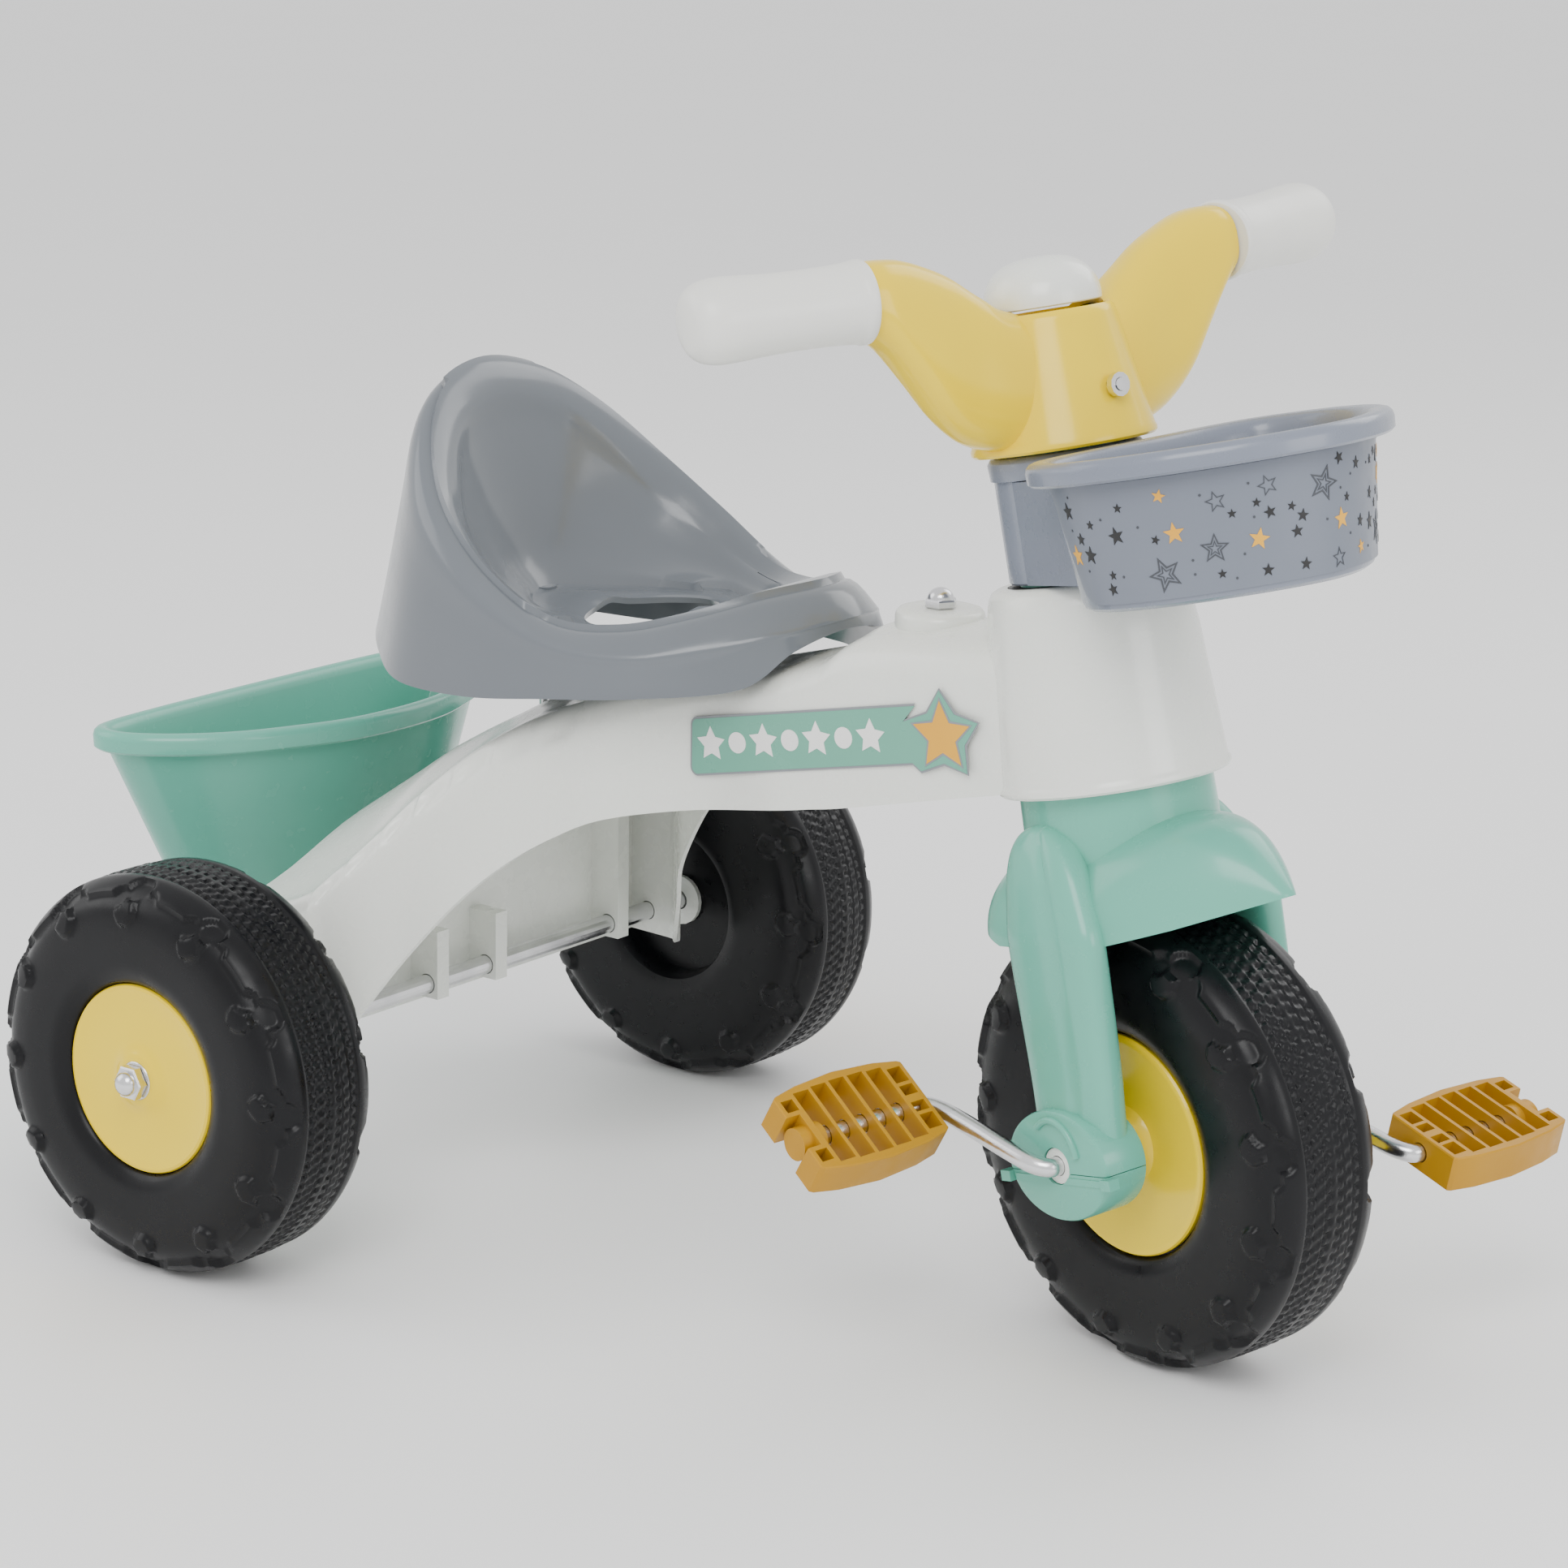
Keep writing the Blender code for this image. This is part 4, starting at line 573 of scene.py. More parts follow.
def build_basket():
    rim = plan(BASKET_RIM, 10)
    foot = inset(rim, BASKET_LIP + BASKET_TAPER)
    bm = loft(tub(rim, foot, BASKET_LOW, SLEEVE_TOP, BASKET_LIP, 0.0105, BASKET_WALL))
    sleeve = [(0, SLEEVE_LOW), (0.0338, SLEEVE_LOW), (0.0345, SLEEVE_LOW + 0.0008),
              (0.0345, SLEEVE_TOP - 0.0110),
              (0.0362, SLEEVE_TOP - 0.0105), (0.0366, SLEEVE_TOP - 0.0030), (0.0350, SLEEVE_TOP - 0.0006),
              (0.0335, SLEEVE_TOP), (0, SLEEVE_TOP)]
    cheeks = [(0.0000, 0.0345), (0.0700, 0.0520), (0.0700, -0.0520), (0.0000, -0.0345)]
    web = loft([at_height(cheeks, z) for z in (SLEEVE_LOW, SLEEVE_TOP - 0.0110)])
    room = inset(rim, BASKET_LIP + BASKET_TAPER + BASKET_WALL - 0.0003)
    inside = loft([at_height(room, z) for z in (BASKET_LOW + 0.0060, SLEEVE_TOP + 0.01)])
    web = combine(solid(web), [cut(inside)])
    steps = [add(turned(sleeve, 64, closed=False)), add(web)]
    for side in (-1, 1):
        groove = rod(0.0022, (-0.0215, side * 0.0290, 0.25), (-0.0215, side * 0.0290, SLEEVE_TOP - 0.011), 16)
        steps.append(cut(groove))
    steps.append(cut(rod(STEM_R + 0.0003, (0, 0, 0.25), (0, 0, 0.34), 64)))
    piece("basket_body", combine(solid(bm), steps), SLATE, "steering", STEER, 38,
          ["basket"])
    build_basket_film(rim)


def build_basket_film(rim):
    low_line = inset(rim, BASKET_LIP + BASKET_TAPER)
    high_line = inset(rim, BASKET_LIP)
    count = len(rim)
    first = min(i for i in range(count // 2) if rim[i][0] > 0.060)
    chosen = list(range(first, count - first + 1))
    lows = np.array([low_line[i] for i in chosen])
    highs = np.array([high_line[i] for i in chosen])
    run = np.r_[0, np.cumsum(np.linalg.norm(np.diff(highs, axis=0), axis=1))]
    base, span = BASKET_LOW + 0.0050, SLEEVE_TOP - 0.0105 - (BASKET_LOW + 0.0050)

    def on_wall(distance, z, out):
        share = (z - base) / span
        point = [np.interp(distance, run, lows[:, k]) * (1 - share)
                 + np.interp(distance, run, highs[:, k]) * share for k in (0, 1)]
        ahead = [np.interp(distance + 0.002, run, highs[:, k]) - np.interp(distance - 0.002, run, highs[:, k])
                 for k in (0, 1)]
        normal = Vector((ahead[1], -ahead[0])).normalized()
        if normal.dot(Vector(point) - Vector((0.11, 0))) < 0:
            normal = -normal
        return Vector((point[0] + normal.x * out, point[1] + normal.y * out, z))

    low_z, high_z = BASKET_LOW + 0.0042, SLEEVE_TOP - 0.0112
    length = run[-1]

    def slant(z):
        return 0.013 * (1 - (z - low_z) / (high_z - low_z))

    rings = []
    for i in range(121):
        column = []
        for k in range(9):
            z = low_z + (high_z - low_z) * k / 8
            start = slant(z)
            column.append((start + (length - 2 * start) * i / 120, z))
        corner = 0.0
        if i < 6 or i > 114:
            corner = 0.004 * (1 - min(i, 120 - i) / 6) ** 2
        column = [(d, max(z, low_z + corner)) for d, z in column]
        rings.append([on_wall(d, z, 0.0003) for d, z in column]
                     + [on_wall(d, z, 0.0008) for d, z in reversed(column)])
    piece("basket_film", loft(rings), FILM, "steering", STEER, 60, ["basket_label"])

    def print_on(bm, outline, distance, z, hole=None):
        ring = [bm.verts.new(on_wall(distance + x, z + y, 0.00105)) for x, y in outline]
        if hole:
            inner = [bm.verts.new(on_wall(distance + x, z + y, 0.00105)) for x, y in hole]
            for i in range(len(ring)):
                j = (i + 1) % len(ring)
                bm.faces.new((ring[i], ring[j], inner[j], inner[i]))
        else:
            middle = bm.verts.new(on_wall(distance, z, 0.00115))
            for i in range(len(ring)):
                bm.faces.new((ring[i], ring[(i + 1) % len(ring)], middle))

    inks = {"black": bmesh.new(), "orange": bmesh.new(), "grey": bmesh.new()}
    placed = []
    tries = 0
    while len(placed) < 92 and tries < 6000:
        tries += 1
        kind = rng.choice(["black", "black", "grey", "grey", "orange", "dot"])
        size = {"black": rng.choice([0.0022, 0.0030, 0.0042]), "orange": rng.choice([0.0032, 0.0050]),
                "grey": rng.choice([0.0048, 0.0068, 0.0082]), "dot": 0.0012}[kind]
        z = rng.uniform(low_z + size + 0.0008, high_z - size - 0.0006)
        distance = rng.uniform(slant(z) + size + 0.001, length - slant(z) - size - 0.001)
        if any(math.hypot(distance - d, z - h) < size + s + 0.0012 for d, h, s in placed):
            continue
        placed.append((distance, z, size))
        turn = rng.uniform(-0.4, 0.4)
        if kind == "dot":
            print_on(inks["grey"], oval(0, 0, 0.0006, 0.0006, 8), distance, z)
        elif kind == "grey":
            print_on(inks["grey"], star(size, size * 0.44, 5, turn), distance, z,
                     star(size * 0.80, size * 0.33, 5, turn))
            if size > 0.006:
                print_on(inks["grey"], star(size * 0.55, size * 0.22, 5, turn), distance, z,
                         star(size * 0.42, size * 0.15, 5, turn))
        else:
            print_on(inks[kind], star(size, size * 0.42, 5, turn), distance, z)
    for name, ink in (("black", INK_BLACK), ("orange", INK_ORANGE), ("grey", INK_GREY)):
        bm = inks[name]
        flat = bmesh.ops.extrude_face_region(bm, geom=bm.faces[:])
        centre = Vector((0.11, 0, 0))
        for vert in (g for g in flat["geom"] if isinstance(g, bmesh.types.BMVert)):
            away = (vert.co - centre).xy.normalized()
            vert.co -= Vector((away.x, away.y, 0)) * 0.0002
        piece("basket_print_" + name, bm, ink, "steering", STEER, 60)


# ---------------------------------------------------------------- wheels
def lug(phase, s, pitch):
    """How far a point of the shoulder is inside a lug: knobs on the sidewall, bays between them."""
    def inside(across, along, radius, soft=0.0011):
        return 1 - step_up(math.hypot(across, along), radius - soft, radius + soft)

    drift = 0.10 * step_up(s, 0.018, 0.044)
    knob = ((phase - drift) % 1.0 - 0.5) * pitch
    bay = ((phase - drift + 0.02) % 1.0 - 0.5) * pitch
    band = 1 - step_up(s, 0.0205, 0.0222)
    body = 1 - step_up(s, 0.0300, 0.0325)
    tip = max(inside(knob, s - 0.0385, 0.0072),
              (1 - step_up(abs(knob), 0.0056, 0.0076)) * (1 - step_up(s, 0.0375, 0.0390)))
    notch = max(inside(bay, s - 0.0275, 0.0068), inside(bay - 0.0085, s - 0.0330, 0.0052),
                inside(bay + 0.0095, s - 0.0335, 0.0058))
    return max(band, min(1.0, max(body, tip)) * (1 - notch))


def build_tyre(name, radius, half, left, right, matrix, body, node, lugs=12):
    """A blow-moulded tyre with tongues over its shoulders and sipes in its tread."""
    def outer(recess_r, web):
        line = [(radius - 0.0013, 0.0), (radius - 0.0013, 0.0095), (radius - 0.0030, 0.0190),
                (radius - 0.0068, 0.0268), (radius - 0.0135, half - 0.0022), (radius - 0.0240, half),
                (recess_r + 0.0140, half), (recess_r + 0.0075, half - 0.0006),
                (recess_r + 0.0022, half - 0.0030), (recess_r + 0.0006, web + 0.0030), (recess_r, web)]
        return np.array(spline(line, 14))

    def sampled(line):
        lengths = np.r_[0, np.cumsum(np.linalg.norm(np.diff(line, axis=0), axis=1))]
        at = list(np.arange(0, 0.0180, 0.00095)) + list(np.arange(0.0180, 0.0500, 0.00125))
        at += list(np.linspace(0.0505, lengths[-1], 14))
        points = np.stack([np.interp(at, lengths, line[:, k]) for k in (0, 1)], 1)
        tangent = np.gradient(points, axis=0)
        tangent /= np.linalg.norm(tangent, axis=1)[:, None]
        normal = np.stack([tangent[:, 1], -tangent[:, 0]], 1)
        return at, points, normal

    around = 520
    sipes = 104
    bm = bmesh.new()
    turns = [2 * math.pi * i / around for i in range(around)]
    sides = []
    for side, (recess_r, web) in ((1, left), (-1, right)):
        at, points, normal = sampled(outer(recess_r, web))
        strip = []
        for k in range(len(at)):
            if k == 0 and side < 0:
                continue
            s = at[k]
            row = []
            for i, turn in enumerate(turns):
                phase = (turn / (2 * math.pi) * lugs + (0.5 if side < 0 else 0.0)) % 1.0
                raised = lug(phase, s, 2 * math.pi * 0.092 / lugs)
                height = 0.0017 * raised + 0.0012 * raised * step_up(s, 0.0150, 0.0215)
                if s < 0.0170:
                    height = 0.0013
                    for row_number, across in enumerate((0.0032, 0.0088, 0.0142)):
                        phase = (turn / (2 * math.pi) * sipes + 0.5 * (row_number % 2)) % 1.0
                        slit = 1 - step_up(abs(s - across), 0.0014, 0.0021)
                        slit *= 1 - step_up(abs(phase - 0.5), 0.14, 0.30)
                        height -= 0.0011 * slit
                    for across in (0.0060, 0.0116, 0.0168):
                        height -= 0.0007 * (1 - step_up(abs(s - across), 0.0002, 0.0009))
                r = points[k][0] + normal[k][0] * height
                y = points[k][1] + normal[k][1] * height
                row.append(bm.verts.new((r * math.cos(turn), side * y, r * math.sin(turn))))
            strip.append(row)
        bore = [bm.verts.new((0.0095 * math.cos(turn), side * web, 0.0095 * math.sin(turn)))
                for turn in turns]
        strip.append(bore)
        sides.append(strip)
    rows = list(reversed(sides[1])) + sides[0]
    for a, b in list(zip(rows, rows[1:])) + [(rows[-1], rows[0])]:
        for i in range(around):
            j = (i + 1) % around
            bm.faces.new((a[i], a[j], b[j], b[i]))
    piece(name, bm, BLACK, body, matrix, 40, [node])


def hex_nut(matrix, body, name, node, side, across=0.0078, tall=0.0055, dome=0.0062):
    """A domed hexagon nut whose axis is y."""
    corners = [(across / math.cos(math.pi / 6) * math.cos(math.pi * k / 3),
                across / math.cos(math.pi / 6) * math.sin(math.pi * k / 3)) for k in range(6)]
    rings = [[Vector((x * f, side * h, z * f)) for x, z in corners]
             for f, h in ((0.93, 0.0), (1.0, 0.0007), (1.0, tall - 0.0008), (0.92, tall))]
    nut = loft(rings)
    cap = [(0, tall - 0.001)] + [(dome * math.cos(a), tall + dome * 0.85 * math.sin(a))
                                 for a in (math.pi / 2 * k / 8 for k in range(8))] + [(0, tall + dome * 0.85)]
    top = turned(facing(cap, side), 32, "Y", closed=False)
    merged = combine(solid(nut), [add(top)])
    piece(name, merged, STEEL, body, matrix, 30, [node])


def build_wheels():
    for side, name in SIDES:
        hub = ORIGIN @ Matrix.Translation((0, side * TRACK / 2, REAR_R))
        body = "rear_wheel_" + name
        disc_side, plain_side = (0.0475, 0.0275), (0.0400, 0.0200)
        faces = (disc_side, plain_side) if side > 0 else (plain_side, disc_side)
        build_tyre("tyre_rear_" + name, REAR_R, TYRE_HALF, *faces, hub, body, "rear_tyre_" + name)
        disc = [(0.0057, 0.0330), (0.0057, 0.0279), (0.0468, 0.0279), (0.0473, 0.0284), (0.0473, 0.0296),
                (0.0466, 0.0306), (0.0452, 0.0310), (0.0440, 0.0306), (0.0330, 0.0302), (0.0200, 0.0303),
                (0.0160, 0.0307), (0.0135, 0.0322), (0.0115, 0.0330)]
        piece("disc_rear_" + name, turned(facing(disc, side), 96, "Y"), YELLOW, body, hub,
              30, ["rear_disc_" + name])
        washer = [(0.0053, 0.0326), (0.0092, 0.0326), (0.0096, 0.0330), (0.0096, 0.0335), (0.0092, 0.0339),
                  (0.0053, 0.0339)]
        piece("washer_" + name, turned(facing(washer, side), 48, "Y"), STEEL, "frame", hub,
              30, ["axle_washer_" + name])
        hex_nut(hub @ Matrix.Translation((0, side * 0.0341, 0)), "frame", "nut_axle_" + name,
                "axle_nut_" + name, side)
    hub = STEER
    recess = (0.0540, 0.0255)
    build_tyre("tyre_front", FRONT_R, FRONT_TYRE_HALF, recess, recess, hub, "front_wheel", "front_tyre", 13)
    for side, name in SIDES:
        disc = [(0.0098, 0.0334), (0.0098, 0.0258), (0.0528, 0.0258), (0.0534, 0.0264), (0.0534, 0.0286),
                (0.0526, 0.0297), (0.0512, 0.0300), (0.0496, 0.0296), (0.0300, 0.0276), (0.0205, 0.0268),
                (0.0188, 0.0272), (0.0176, 0.0290), (0.0166, 0.0325), (0.0150, 0.0338), (0.0118, 0.0340)]
        piece("disc_front_" + name, turned(facing(disc, side), 96, "Y"), YELLOW,
              "front_wheel", hub, 30, ["front_disc_" + name])


# ---------------------------------------------------------------- fork
LEG_Y, HOUSING_R, HOUSING_IN, HOUSING_OUT, SPLIT_Z = 0.0550, 0.0340, 0.0445, 0.0700, -0.0030
HOUSING_FLAT = 0.77   # the housings are lower than they are long
LEG_LINE = [(0.1545, 0.0020, 0.0015), (0.1530, 0.0080, 0.0052), (0.1490, 0.0145, 0.0082),
            (0.1420, 0.0200, 0.0100),
            (0.1320, 0.0242, 0.0110), (0.1200, 0.0268, 0.0112), (0.1050, 0.0292, 0.0112),
            (0.0850, 0.0290, 0.0112), (0.0500, 0.0276, 0.0112), (0.0200, 0.0262, 0.0112),
            (0.0030, 0.0262, 0.0112)]
GUARD = [(-0.063, 0.012, 0.1060, 0.1110), (-0.061, 0.028, 0.1040, 0.1190), (-0.055, 0.043, 0.1020, 0.1290),
         (-0.043, 0.053, 0.1000, 0.1390), (-0.020, 0.0570, 0.0975, 0.1450), (0.005, 0.0565, 0.0975, 0.1480),
         (0.030, 0.0530, 0.0985, 0.1505), (0.050, 0.0450, 0.1010, 0.1510), (0.064, 0.0360, 0.1035, 0.1495),
         (0.078, 0.0265, 0.1060, 0.1440), (0.090, 0.0175, 0.1085, 0.1345), (0.099, 0.0100, 0.1105, 0.1245),
         (0.1045, 0.0050, 0.1125, 0.1175), (0.1062, 0.0020, 0.1135, 0.1148)]


def build_fork():
    guard = []
    for x, wide, low, high in spline(GUARD, 5):
        ring = [(wide, low - 0.012)]
        for k in range(33):
            a = math.pi * k / 32
            ring.append((wide * math.copysign(abs(math.cos(a)) ** 0.86, math.cos(a)),
                         low + (high - low) * math.sin(a) ** 0.92))
        ring.append((-wide, low - 0.012))
        guard.append([Vector((x, y, z)) for y, z in ring])
    below = [(-0.09, 0.1160), (-0.035, 0.0990), (0.030, 0.0990), (0.064, 0.1045), (0.107, 0.1135),
             (0.13, 0.118), (0.13, 0.05), (-0.09, 0.05)]
    slab = loft([[Vector((x, y, z)) for x, z in below] for y in (-0.09, 0.09)])
    hood = combine(solid(loft(guard)), [cut(slab)])
    column = [(0, 0.0990), (0.0462, 0.0990), (0.0460, 0.1300), (0.0452, NECK_LOW - 0.0012),
              (0.0440, NECK_LOW - 0.0006), (STEM_R, NECK_LOW - 0.0006), (STEM_R, 0.3605), (0.0290, 0.3620),
              (0, 0.3620)]
    steps = [add(hood), cut(rod(FRONT_R + 0.005, (0, -0.040, 0), (0, 0.040, 0), 128))]
    for side in (-1, 1):
        line = spline(LEG_LINE, 4)
        rings = []
        for z, half_x, half_y in line:
            lean = min(1.0, max(0.0, (z - 0.105) / 0.045))
            centre = 0.0062 - 0.0102 * lean - 0.002 * (1 - step_up(z, 0.0, 0.05))
            ring = []
            for px, py in oval(0, 0, half_x, half_y, 48, 2.7):
                if py * side > 0.5 * half_y:
                    py -= side * 0.0012 * (1 - step_up(abs(px - 0.36 * half_x), 0.0, 0.0035))
                ring.append(Vector((centre + px, side * (LEG_Y - 0.010 * lean) + py, z)))
            rings.append(ring)
        steps.append(add(loft(rings)))
        steps.append(add(housing(side, SPLIT_Z, 0.05)))
        rib = [Vector((HOUSING_R * 0.46 * math.cos(a), side * (HOUSING_OUT + 0.0004),
                       HOUSING_R * 0.58 * math.sin(a) + 0.002))
               for a in (math.radians(8 + 118 * k / 14) for k in range(15))]
        steps.append(add(sweep(rib, 0.0017, 12)))
    steps.append(cut(rod(0.0088, (0, -0.08, 0), (0, 0.08, 0))))
    steps.append(cut(rod(0.0250, (0, 0, 0.13), (0, 0, 0.38), 48)))
    steps.append(cut(rod(0.0033, (-0.06, 0, BAR_BOLT_Z), (0.06, 0, BAR_BOLT_Z), 16)))
    body = combine(solid(turned(column, 96, closed=False)), steps)
    piece("fork_body", body, MINT, "steering", STEER, 36, ["fork"])
    for side, name in SIDES:
        tabs = [((x - 0.0032, side * 0.0690 - 0.0035, SPLIT_Z - 0.0058),
                 (x + 0.0032, side * 0.0690 + 0.0025, SPLIT_Z - 0.0008))
                for x in (-0.0350, 0.0350)]
        lip = [((-0.0300, side * 0.0700 - 0.0005, SPLIT_Z - 0.0052),
                (0.0300, side * 0.0700 + 0.0014, SPLIT_Z - 0.0020))]
        cap = combine(solid(housing(side, -0.05, SPLIT_Z - 0.0004)),
                      [add(boxes(tabs)), add(boxes(lip)),
                       cut(rod(0.0088, (0, -0.08, 0), (0, 0.08, 0)))])
        piece("fork_foot_" + name, cap, MINT, "steering", STEER, 36, ["fork_cap_" + name])


def housing(side, low, high):
    """The part of a crank housing between two heights."""
    inner, outer = HOUSING_IN, HOUSING_OUT
    disc = [(0, inner), (HOUSING_R - 0.001, inner), (HOUSING_R, inner + 0.001), (HOUSING_R, outer - 0.0022),
            (HOUSING_R - 0.0007, outer - 0.0007), (HOUSING_R - 0.0024, outer), (0, outer)]
    bm = turned(facing(disc, side), 80, "Y", closed=False)
    block = boxes([((-0.06, -0.09, low), (0.06, 0.09, high))])
    bm.transform(Matrix.Diagonal((1.0, 1.0, HOUSING_FLAT, 1.0)))
    return combine(solid(bm), [("INTERSECT", solid(block))])


# ---------------------------------------------------------------- crank and pedals
def crank_end(side):
    return Vector((side * CRANK_ARM * math.cos(CRANK_ANGLE), 0, side * CRANK_ARM * math.sin(CRANK_ANGLE)))


def build_crank():
    half = [(0.0000, 0.0700), (0.0010, 0.0745), (0.0080, 0.0785), (0.0240, 0.0800),
            (0.0480, 0.0812), (0.0650, 0.0830), (0.0735, 0.0870), (0.0750, 0.0930)]
    heading = crank_end(1).normalized()
    bend = [Vector(p) for p in spline([(heading.x * a, b, heading.z * a) for a, b in half], 6)]
    left = [Vector((0, 0, 0))] + bend + [crank_end(1) + Vector((0, PEDAL_IN + PEDAL_LENGTH - 0.0085, 0))]
    path = [Vector((-p.x, -p.y, -p.z)) for p in reversed(left[1:])] + left
    piece("crank_rod", sweep(path, ROD_R, 24), STEEL, "front_wheel", STEER, 40, ["crankshaft"])


def build_pedal(side, name):
    edge = [(0.0000, 0.0205), (0.0020, 0.0220), (0.0150, 0.0247), (0.0380, 0.0265), (0.0610, 0.0247),
            (0.0740, 0.0220), (0.0760, 0.0205)]
    outline = [(w, side * (PEDAL_IN + a)) for a, w in edge]
    outline += [(-w, side * (PEDAL_IN + a)) for a, w in reversed(edge)]
    levels = ((-0.0092, 0.0006), (-0.0086, 0.0), (0.0086, 0.0), (0.0092, 0.0006))
    rings = [at_height(inset(outline, d), z) for z, d in levels]
    slots = []

    def slot(x0, x1, a0, a1):
        low, high = sorted((side * (PEDAL_IN + a0), side * (PEDAL_IN + a1)))
        slots.append(((x0, low, -0.02), (x1, high, 0.02)))

    for i in range(5):
        start = 0.0125 + 0.0108 * i
        reach_x = 0.0188 + 0.0032 * math.sin(math.pi * (start + 0.0045) / PEDAL_LENGTH)
        slot(-reach_x, reach_x, start, start + 0.0088)
    for tread in (-1, 1):
        slot(*sorted((tread * 0.0098, tread * 0.0185)), 0.0026, 0.0103)
        slot(*sorted((tread * 0.0116, tread * 0.0182)), 0.0668, 0.0734)
        slot(*sorted((tread * 0.0022, tread * 0.0078)), 0.0026, 0.0103)
    steps = [cut(boxes(slots))]
    near, far = sorted((side * (PEDAL_IN + 0.0682), side * 0.2))
    notch = boxes([((-0.0092, near, -0.02), (0.0092, far, 0.02))])
    steps.append(cut(notch))
    boss = rod(0.0078, (0, side * (PEDAL_IN + 0.0600), 0), (0, side * (PEDAL_IN + 0.0738), 0), 40)
    steps.append(add(boss))
    steps.append(cut(rod(ROD_R + 0.0003, (0, 0, 0), (0, side * (PEDAL_IN + 0.0690), 0), 32)))
    body = combine(solid(loft(rings)), steps)
    place = STEER @ Matrix.Translation(crank_end(side)) @ Matrix.Rotation(-PEDAL_TILT[side], 4, "Y")
    piece("tread_" + name, body, OCHRE, "pedal_" + name, place, 30, ["pedal_" + name],
          bevel=0.0004)


# ---------------------------------------------------------------- handlebar
ARM_SECTIONS = [(0.0000, 0.000, 0.0240, 0.3240, 0.3830), (0.0300, 0.000, 0.0220, 0.3250, 0.3890),
                (0.0450, 0.001, 0.0200, 0.3270, 0.3980), (0.0600, 0.002, 0.0175, 0.3330, 0.4085),
                (0.0740, 0.003, 0.0165, 0.3450, 0.4150), (0.0860, 0.003, 0.0165, 0.3620, 0.4190),
                (0.0970, 0.002, 0.0175, 0.3780, 0.4205), (0.1043, 0.000, 0.0180, 0.3855, 0.4205)]


def build_handlebar():
    def ring(section, side, wall=0.0):
        out, x, depth, low, top = section
        lean = 0.25 * max(0.0, (out - 0.0600) / 0.0443)
        outline = oval(x, (low + top) / 2, depth - wall, (top - low) / 2 - wall, 44, 2.6)
        return [Vector((px, side * (out + lean * (px - x)), pz)) for px, pz in outline]

    half = spline(ARM_SECTIONS, 6)
    arms = loft([ring(s, -1) for s in reversed(half)] + [ring(s, 1) for s in half[1:]])
    boss = [(0, BAR_LOW), (0.0420, BAR_LOW), (0.0432, BAR_LOW + 0.0012), (0.0432, BAR_LOW + 0.0030),
            (0.0424, BAR_LOW + 0.0050), (0.0326, BAR_TOP - 0.0040), (0.0318, BAR_TOP - 0.0012),
            (0.0304, BAR_TOP), (0, BAR_TOP)]
    hollow = [s for s in half if s[0] <= 0.0971]
    steps = [add(turned(boss, 80, closed=False)),
             cut(loft([ring(s, -1, 0.0035) for s in reversed(hollow)]
                                       + [ring(s, 1, 0.0035) for s in hollow[1:]])),
             cut(rod(STEM_R + 0.0003, (0, 0, 0.31), (0, 0, 0.3625), 64)),
             cut(rod(0.0210, (0, 0, 0.355), (0, 0, 0.40), 48)),
             cut(rod(0.0284, (0, 0, 0.384), (0, 0, 0.42), 64))]
    for side in (-1, 1):
        start, end = grip_line(side)
        spigot = rod(0.0105, start + (start - end).normalized() * 0.008, start + (end - start) * 0.72)
        steps.append(add(spigot))
    steps.append(cut(rod(0.0033, (-0.06, 0, BAR_BOLT_Z), (0.06, 0, BAR_BOLT_Z), 16)))
    piece("handlebar_body", combine(solid(arms), steps), YELLOW, "steering", STEER, 36,
          ["handlebar"])
    for side, name in SIDES:
        start, end = grip_line(side)
        length = (end - start).length
        line = [(0.0182, 0.0), (0.0190, 0.0012), (0.0191, 0.0040), (0.0183, 0.0075), (0.0177, 0.0200),
                (0.0176, 0.0340), (0.0181, 0.0500), (0.0190, 0.0640), (0.0190, 0.0730),
                (0.0172, length - 0.0062),
                (0.0130, length - 0.0018), (0.0060, length - 0.0002)]
        skin = [(float(r), float(h)) for r, h in spline(line, 4)] + [(0, length)]
        inside = [(0, 0.72 * length + 0.001), (0.0108, 0.72 * length + 0.001), (0.0108, 0.0)]
        bm = turned(skin + inside, 64, closed=True)
        shift = (end - start).normalized() * 0.0006
        turn = (end - start).to_track_quat("Z", "Y").to_matrix().to_4x4()
        bm.transform(Matrix.Translation(start + shift) @ turn)
        piece("handgrip_" + name, bm, GRIP, "steering", STEER, 40, ["grip_" + name])
    dome = [(0, 0.3870), (0.0262, 0.3870), (0.0270, 0.3876), (0.0272, 0.3900)]
    dome += [(0.0272 * math.cos(a) ** 0.72, 0.3900 + 0.0200 * math.sin(a)) for a in
             (math.pi / 2 * k / 16 for k in range(1, 16))] + [(0, 0.4100)]
    piece("button_dome", turned(dome, 64, closed=False), WHITE, "horn", STEER, 40,
          ["horn_button"])


def grip_line(side):
    return Vector((0.0050, side * GRIP_IN, 0.4030)), Vector((-0.0160, side * GRIP_OUT, 0.4055))


# ---------------------------------------------------------------- labels on the beam
BEAM_HALF = 0.0450


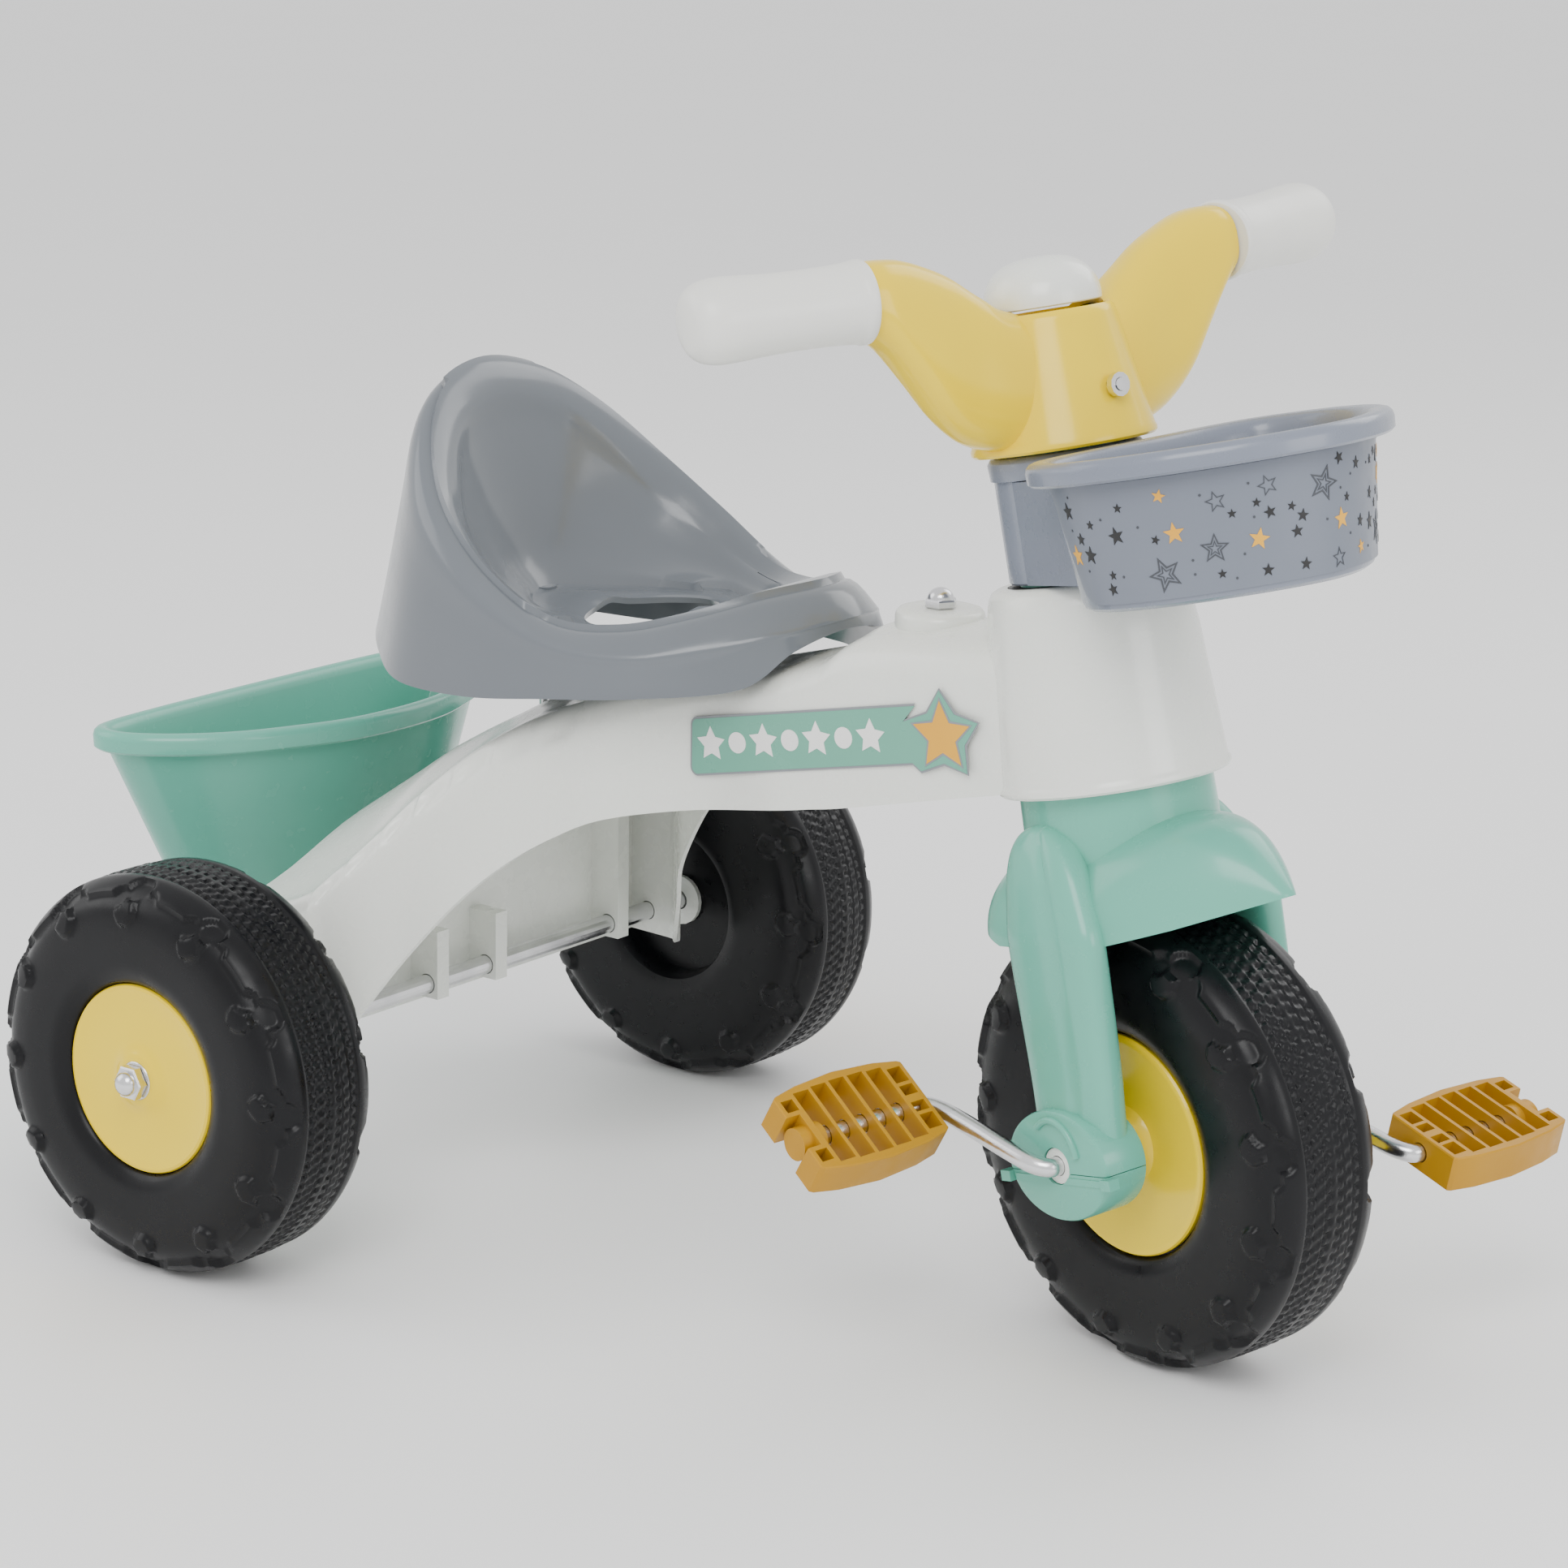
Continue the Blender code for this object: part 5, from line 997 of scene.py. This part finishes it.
def build_side_labels():
    slope, start, stop, star_z = 0.20, 0.1885, 0.3370, 0.2905
    low, high, corner = 0.2475, 0.2770, 0.0045
    bar_end = stop - 0.0160
    outline = []
    for quarter, z in ((1, high - corner), (2, low + corner)):
        for turn in range(7):
            a = math.pi / 2 * quarter + math.pi / 2 * turn / 6
            outline.append((start + corner + corner * math.cos(a), z + corner * math.sin(a)))
    tip = [(stop + x, star_z + y) for x, y in star(0.0225, 0.0140, 5, 0.12)]
    outline.append((bar_end, low + slope * (bar_end - start)))
    outline += [tip[i] for i in (4, 5, 6, 7, 8, 9, 0, 1, 2)]
    outline.append((bar_end, high + slope * (bar_end - start)))

    def film(name, bm, mat, replaces=()):
        piece(name, bm, mat, "frame", ORIGIN, 30, replaces)

    def plate(side, shape, near, far):
        return loft([[Vector((x, side * (BEAM_HALF - max(0.0, x - 0.3300) * 0.02 + out), z))
                      for x, z in shape] for out in (near, far)])

    for side, name in SIDES:
        film("label_" + name, plate(side, outline, 0.0003, 0.0009), EDGE_FILM, ["side_label_" + name])
        film("label_field_" + name, plate(side, inset(outline, 0.0011), 0.0009, 0.0011), MINT_FILM)
        big = [(stop + x, star_z + y) for x, y in star(0.0166, 0.0078, 5, 0.12)]
        rim = [(stop + x, star_z + y) for x, y in star(0.0184, 0.0090, 5, 0.12)]
        film("label_star_edge_" + name, plate(side, rim, 0.0011, 0.00125), EDGE_FILM)
        film("label_star_" + name, plate(side, big, 0.00125, 0.0014), INK_ORANGE)
        marks = bmesh.new()
        for i in range(7):
            x = start + 0.0130 + 0.0158 * i
            z = (low + high) / 2 + slope * (x - start)
            shape = star(0.0088, 0.0045, 5, 0.1) if i % 2 == 0 else oval(0, 0, 0.0052, 0.0052, 20)
            ring = [[marks.verts.new((x + a, side * (BEAM_HALF + out), z + b)) for a, b in shape]
                    for out in (0.0011, 0.0014)]
            count = len(shape)
            for k in range(count):
                j = (k + 1) % count
                marks.faces.new((ring[0][k], ring[0][j], ring[1][j], ring[1][k]))
            marks.faces.new(ring[0])
            marks.faces.new(ring[1])
        film("label_marks_" + name, marks, INK_WHITE)


# ---------------------------------------------------------------- small pieces kept from the CAD
def finish_cad_nodes():
    kept = {"neck_bush_upper": DARK, "neck_bush_lower": DARK, "horn_bellows": DARK, "frame_bolt": STEEL,
            "seat_screw_front": STEEL, "seat_screw_rear": STEEL, "rear_axle": STEEL,
            "bucket_pivot_pin": STEEL, "handlebar_bolt": STEEL, "handlebar_nut": STEEL,
            "pedal_retainer_left": STEEL, "pedal_retainer_right": STEEL, "front_hub": WHITE,
            "crank_bush_left": WHITE, "crank_bush_right": WHITE, "rear_hub_bush_left": WHITE,
            "rear_hub_bush_right": WHITE}
    for name, mat in kept.items():
        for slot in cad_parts[name].material_slots:
            slot.material = mat


def build_cap_nut():
    matrix = ORIGIN @ Matrix.Translation((CAP_BOLT_X, 0, 0.3394)) @ Matrix.Rotation(math.pi / 2, 4, "X")
    hex_nut(matrix, "frame", "nut_beam", "frame_cap_nut", 1, 0.0070, 0.0040, 0.0062)


# ---------------------------------------------------------------- stage, light and camera
LENS_MM = 102.48447204968944
FLOOR_Z = -0.0003     # just below the tyres


def build_stage():
    mat, tree, shader = nodes_of("studio_floor")
    fac = noise(tree, 3.0, 2.0)
    ramp = tree.nodes.new("ShaderNodeValToRGB")
    ramp.color_ramp.elements[0].color = (0.92, 0.92, 0.92, 1)
    ramp.color_ramp.elements[1].color = (0.95, 0.95, 0.95, 1)
    tree.links.new(fac, ramp.inputs["Fac"])
    tree.links.new(ramp.outputs["Color"], shader.inputs["Base Color"])
    shader.inputs["Roughness"].default_value = 0.45
    bm = bmesh.new()
    bmesh.ops.create_grid(bm, x_segments=1, y_segments=1, size=30.0)
    mesh = bpy.data.meshes.new("floor")
    bm.to_mesh(mesh)
    bm.free()
    floor = bpy.data.objects.new("floor", mesh)
    floor.location.z = FLOOR_Z
    bpy.context.collection.objects.link(floor)
    mesh.materials.append(mat)

    world = bpy.data.worlds.new("studio")
    world.use_nodes = True
    world.node_tree.nodes["Background"].inputs["Color"].default_value = (1, 1, 1, 1)
    world.node_tree.nodes["Background"].inputs["Strength"].default_value = 1.2
    bpy.context.scene.world = world
    for name, place, size, power in (("key", (0.9, -1.6, 1.9), 1.2, 30), ("fill", (-1.8, -1.0, 1.3), 1.4, 11),
                                     ("back", (0.4, 2.0, 1.8), 1.4, 16),
                                     ("front", (2.2, -0.2, 1.0), 0.9, 10)):
        light = bpy.data.lights.new(name, "AREA")
        light.shape = "SQUARE"
        light.size = size
        light.energy = power
        lamp = bpy.data.objects.new(name, light)
        lamp.location = place
        aim = Vector((0.0, 0, 0.25)) - Vector(place)
        lamp.rotation_euler = aim.to_track_quat("-Z", "Y").to_euler()
        bpy.context.collection.objects.link(lamp)

    yaw, pitch, roll = math.radians(37.31), math.radians(14.45), math.radians(-0.86)
    ahead = Vector((-math.sin(yaw) * math.cos(pitch), math.cos(yaw) * math.cos(pitch), -math.sin(pitch)))
    level = Vector((math.cos(yaw), math.sin(yaw), 0))
    down_level = ahead.cross(level)
    right = math.cos(roll) * level + math.sin(roll) * down_level
    down = -math.sin(roll) * level + math.cos(roll) * down_level
    camera_data = bpy.data.cameras.new("camera")
    camera_data.sensor_width = 36.0
    camera_data.lens = LENS_MM
    camera = bpy.data.objects.new("camera", camera_data)
    turn = Matrix((right, -down, -ahead)).transposed().to_4x4()
    camera.matrix_world = Matrix.Translation((REAR_AXLE_X + 1.4942, -1.6843, 0.7831)) @ turn
    bpy.context.collection.objects.link(camera)
    bpy.context.scene.camera = camera


build_stage()
build_frame()
build_seat()
build_bucket()
build_basket()
build_wheels()
build_fork()
build_crank()
for side, name in SIDES:
    build_pedal(side, name)
build_handlebar()
build_side_labels()
build_cap_nut()
finish_cad_nodes()
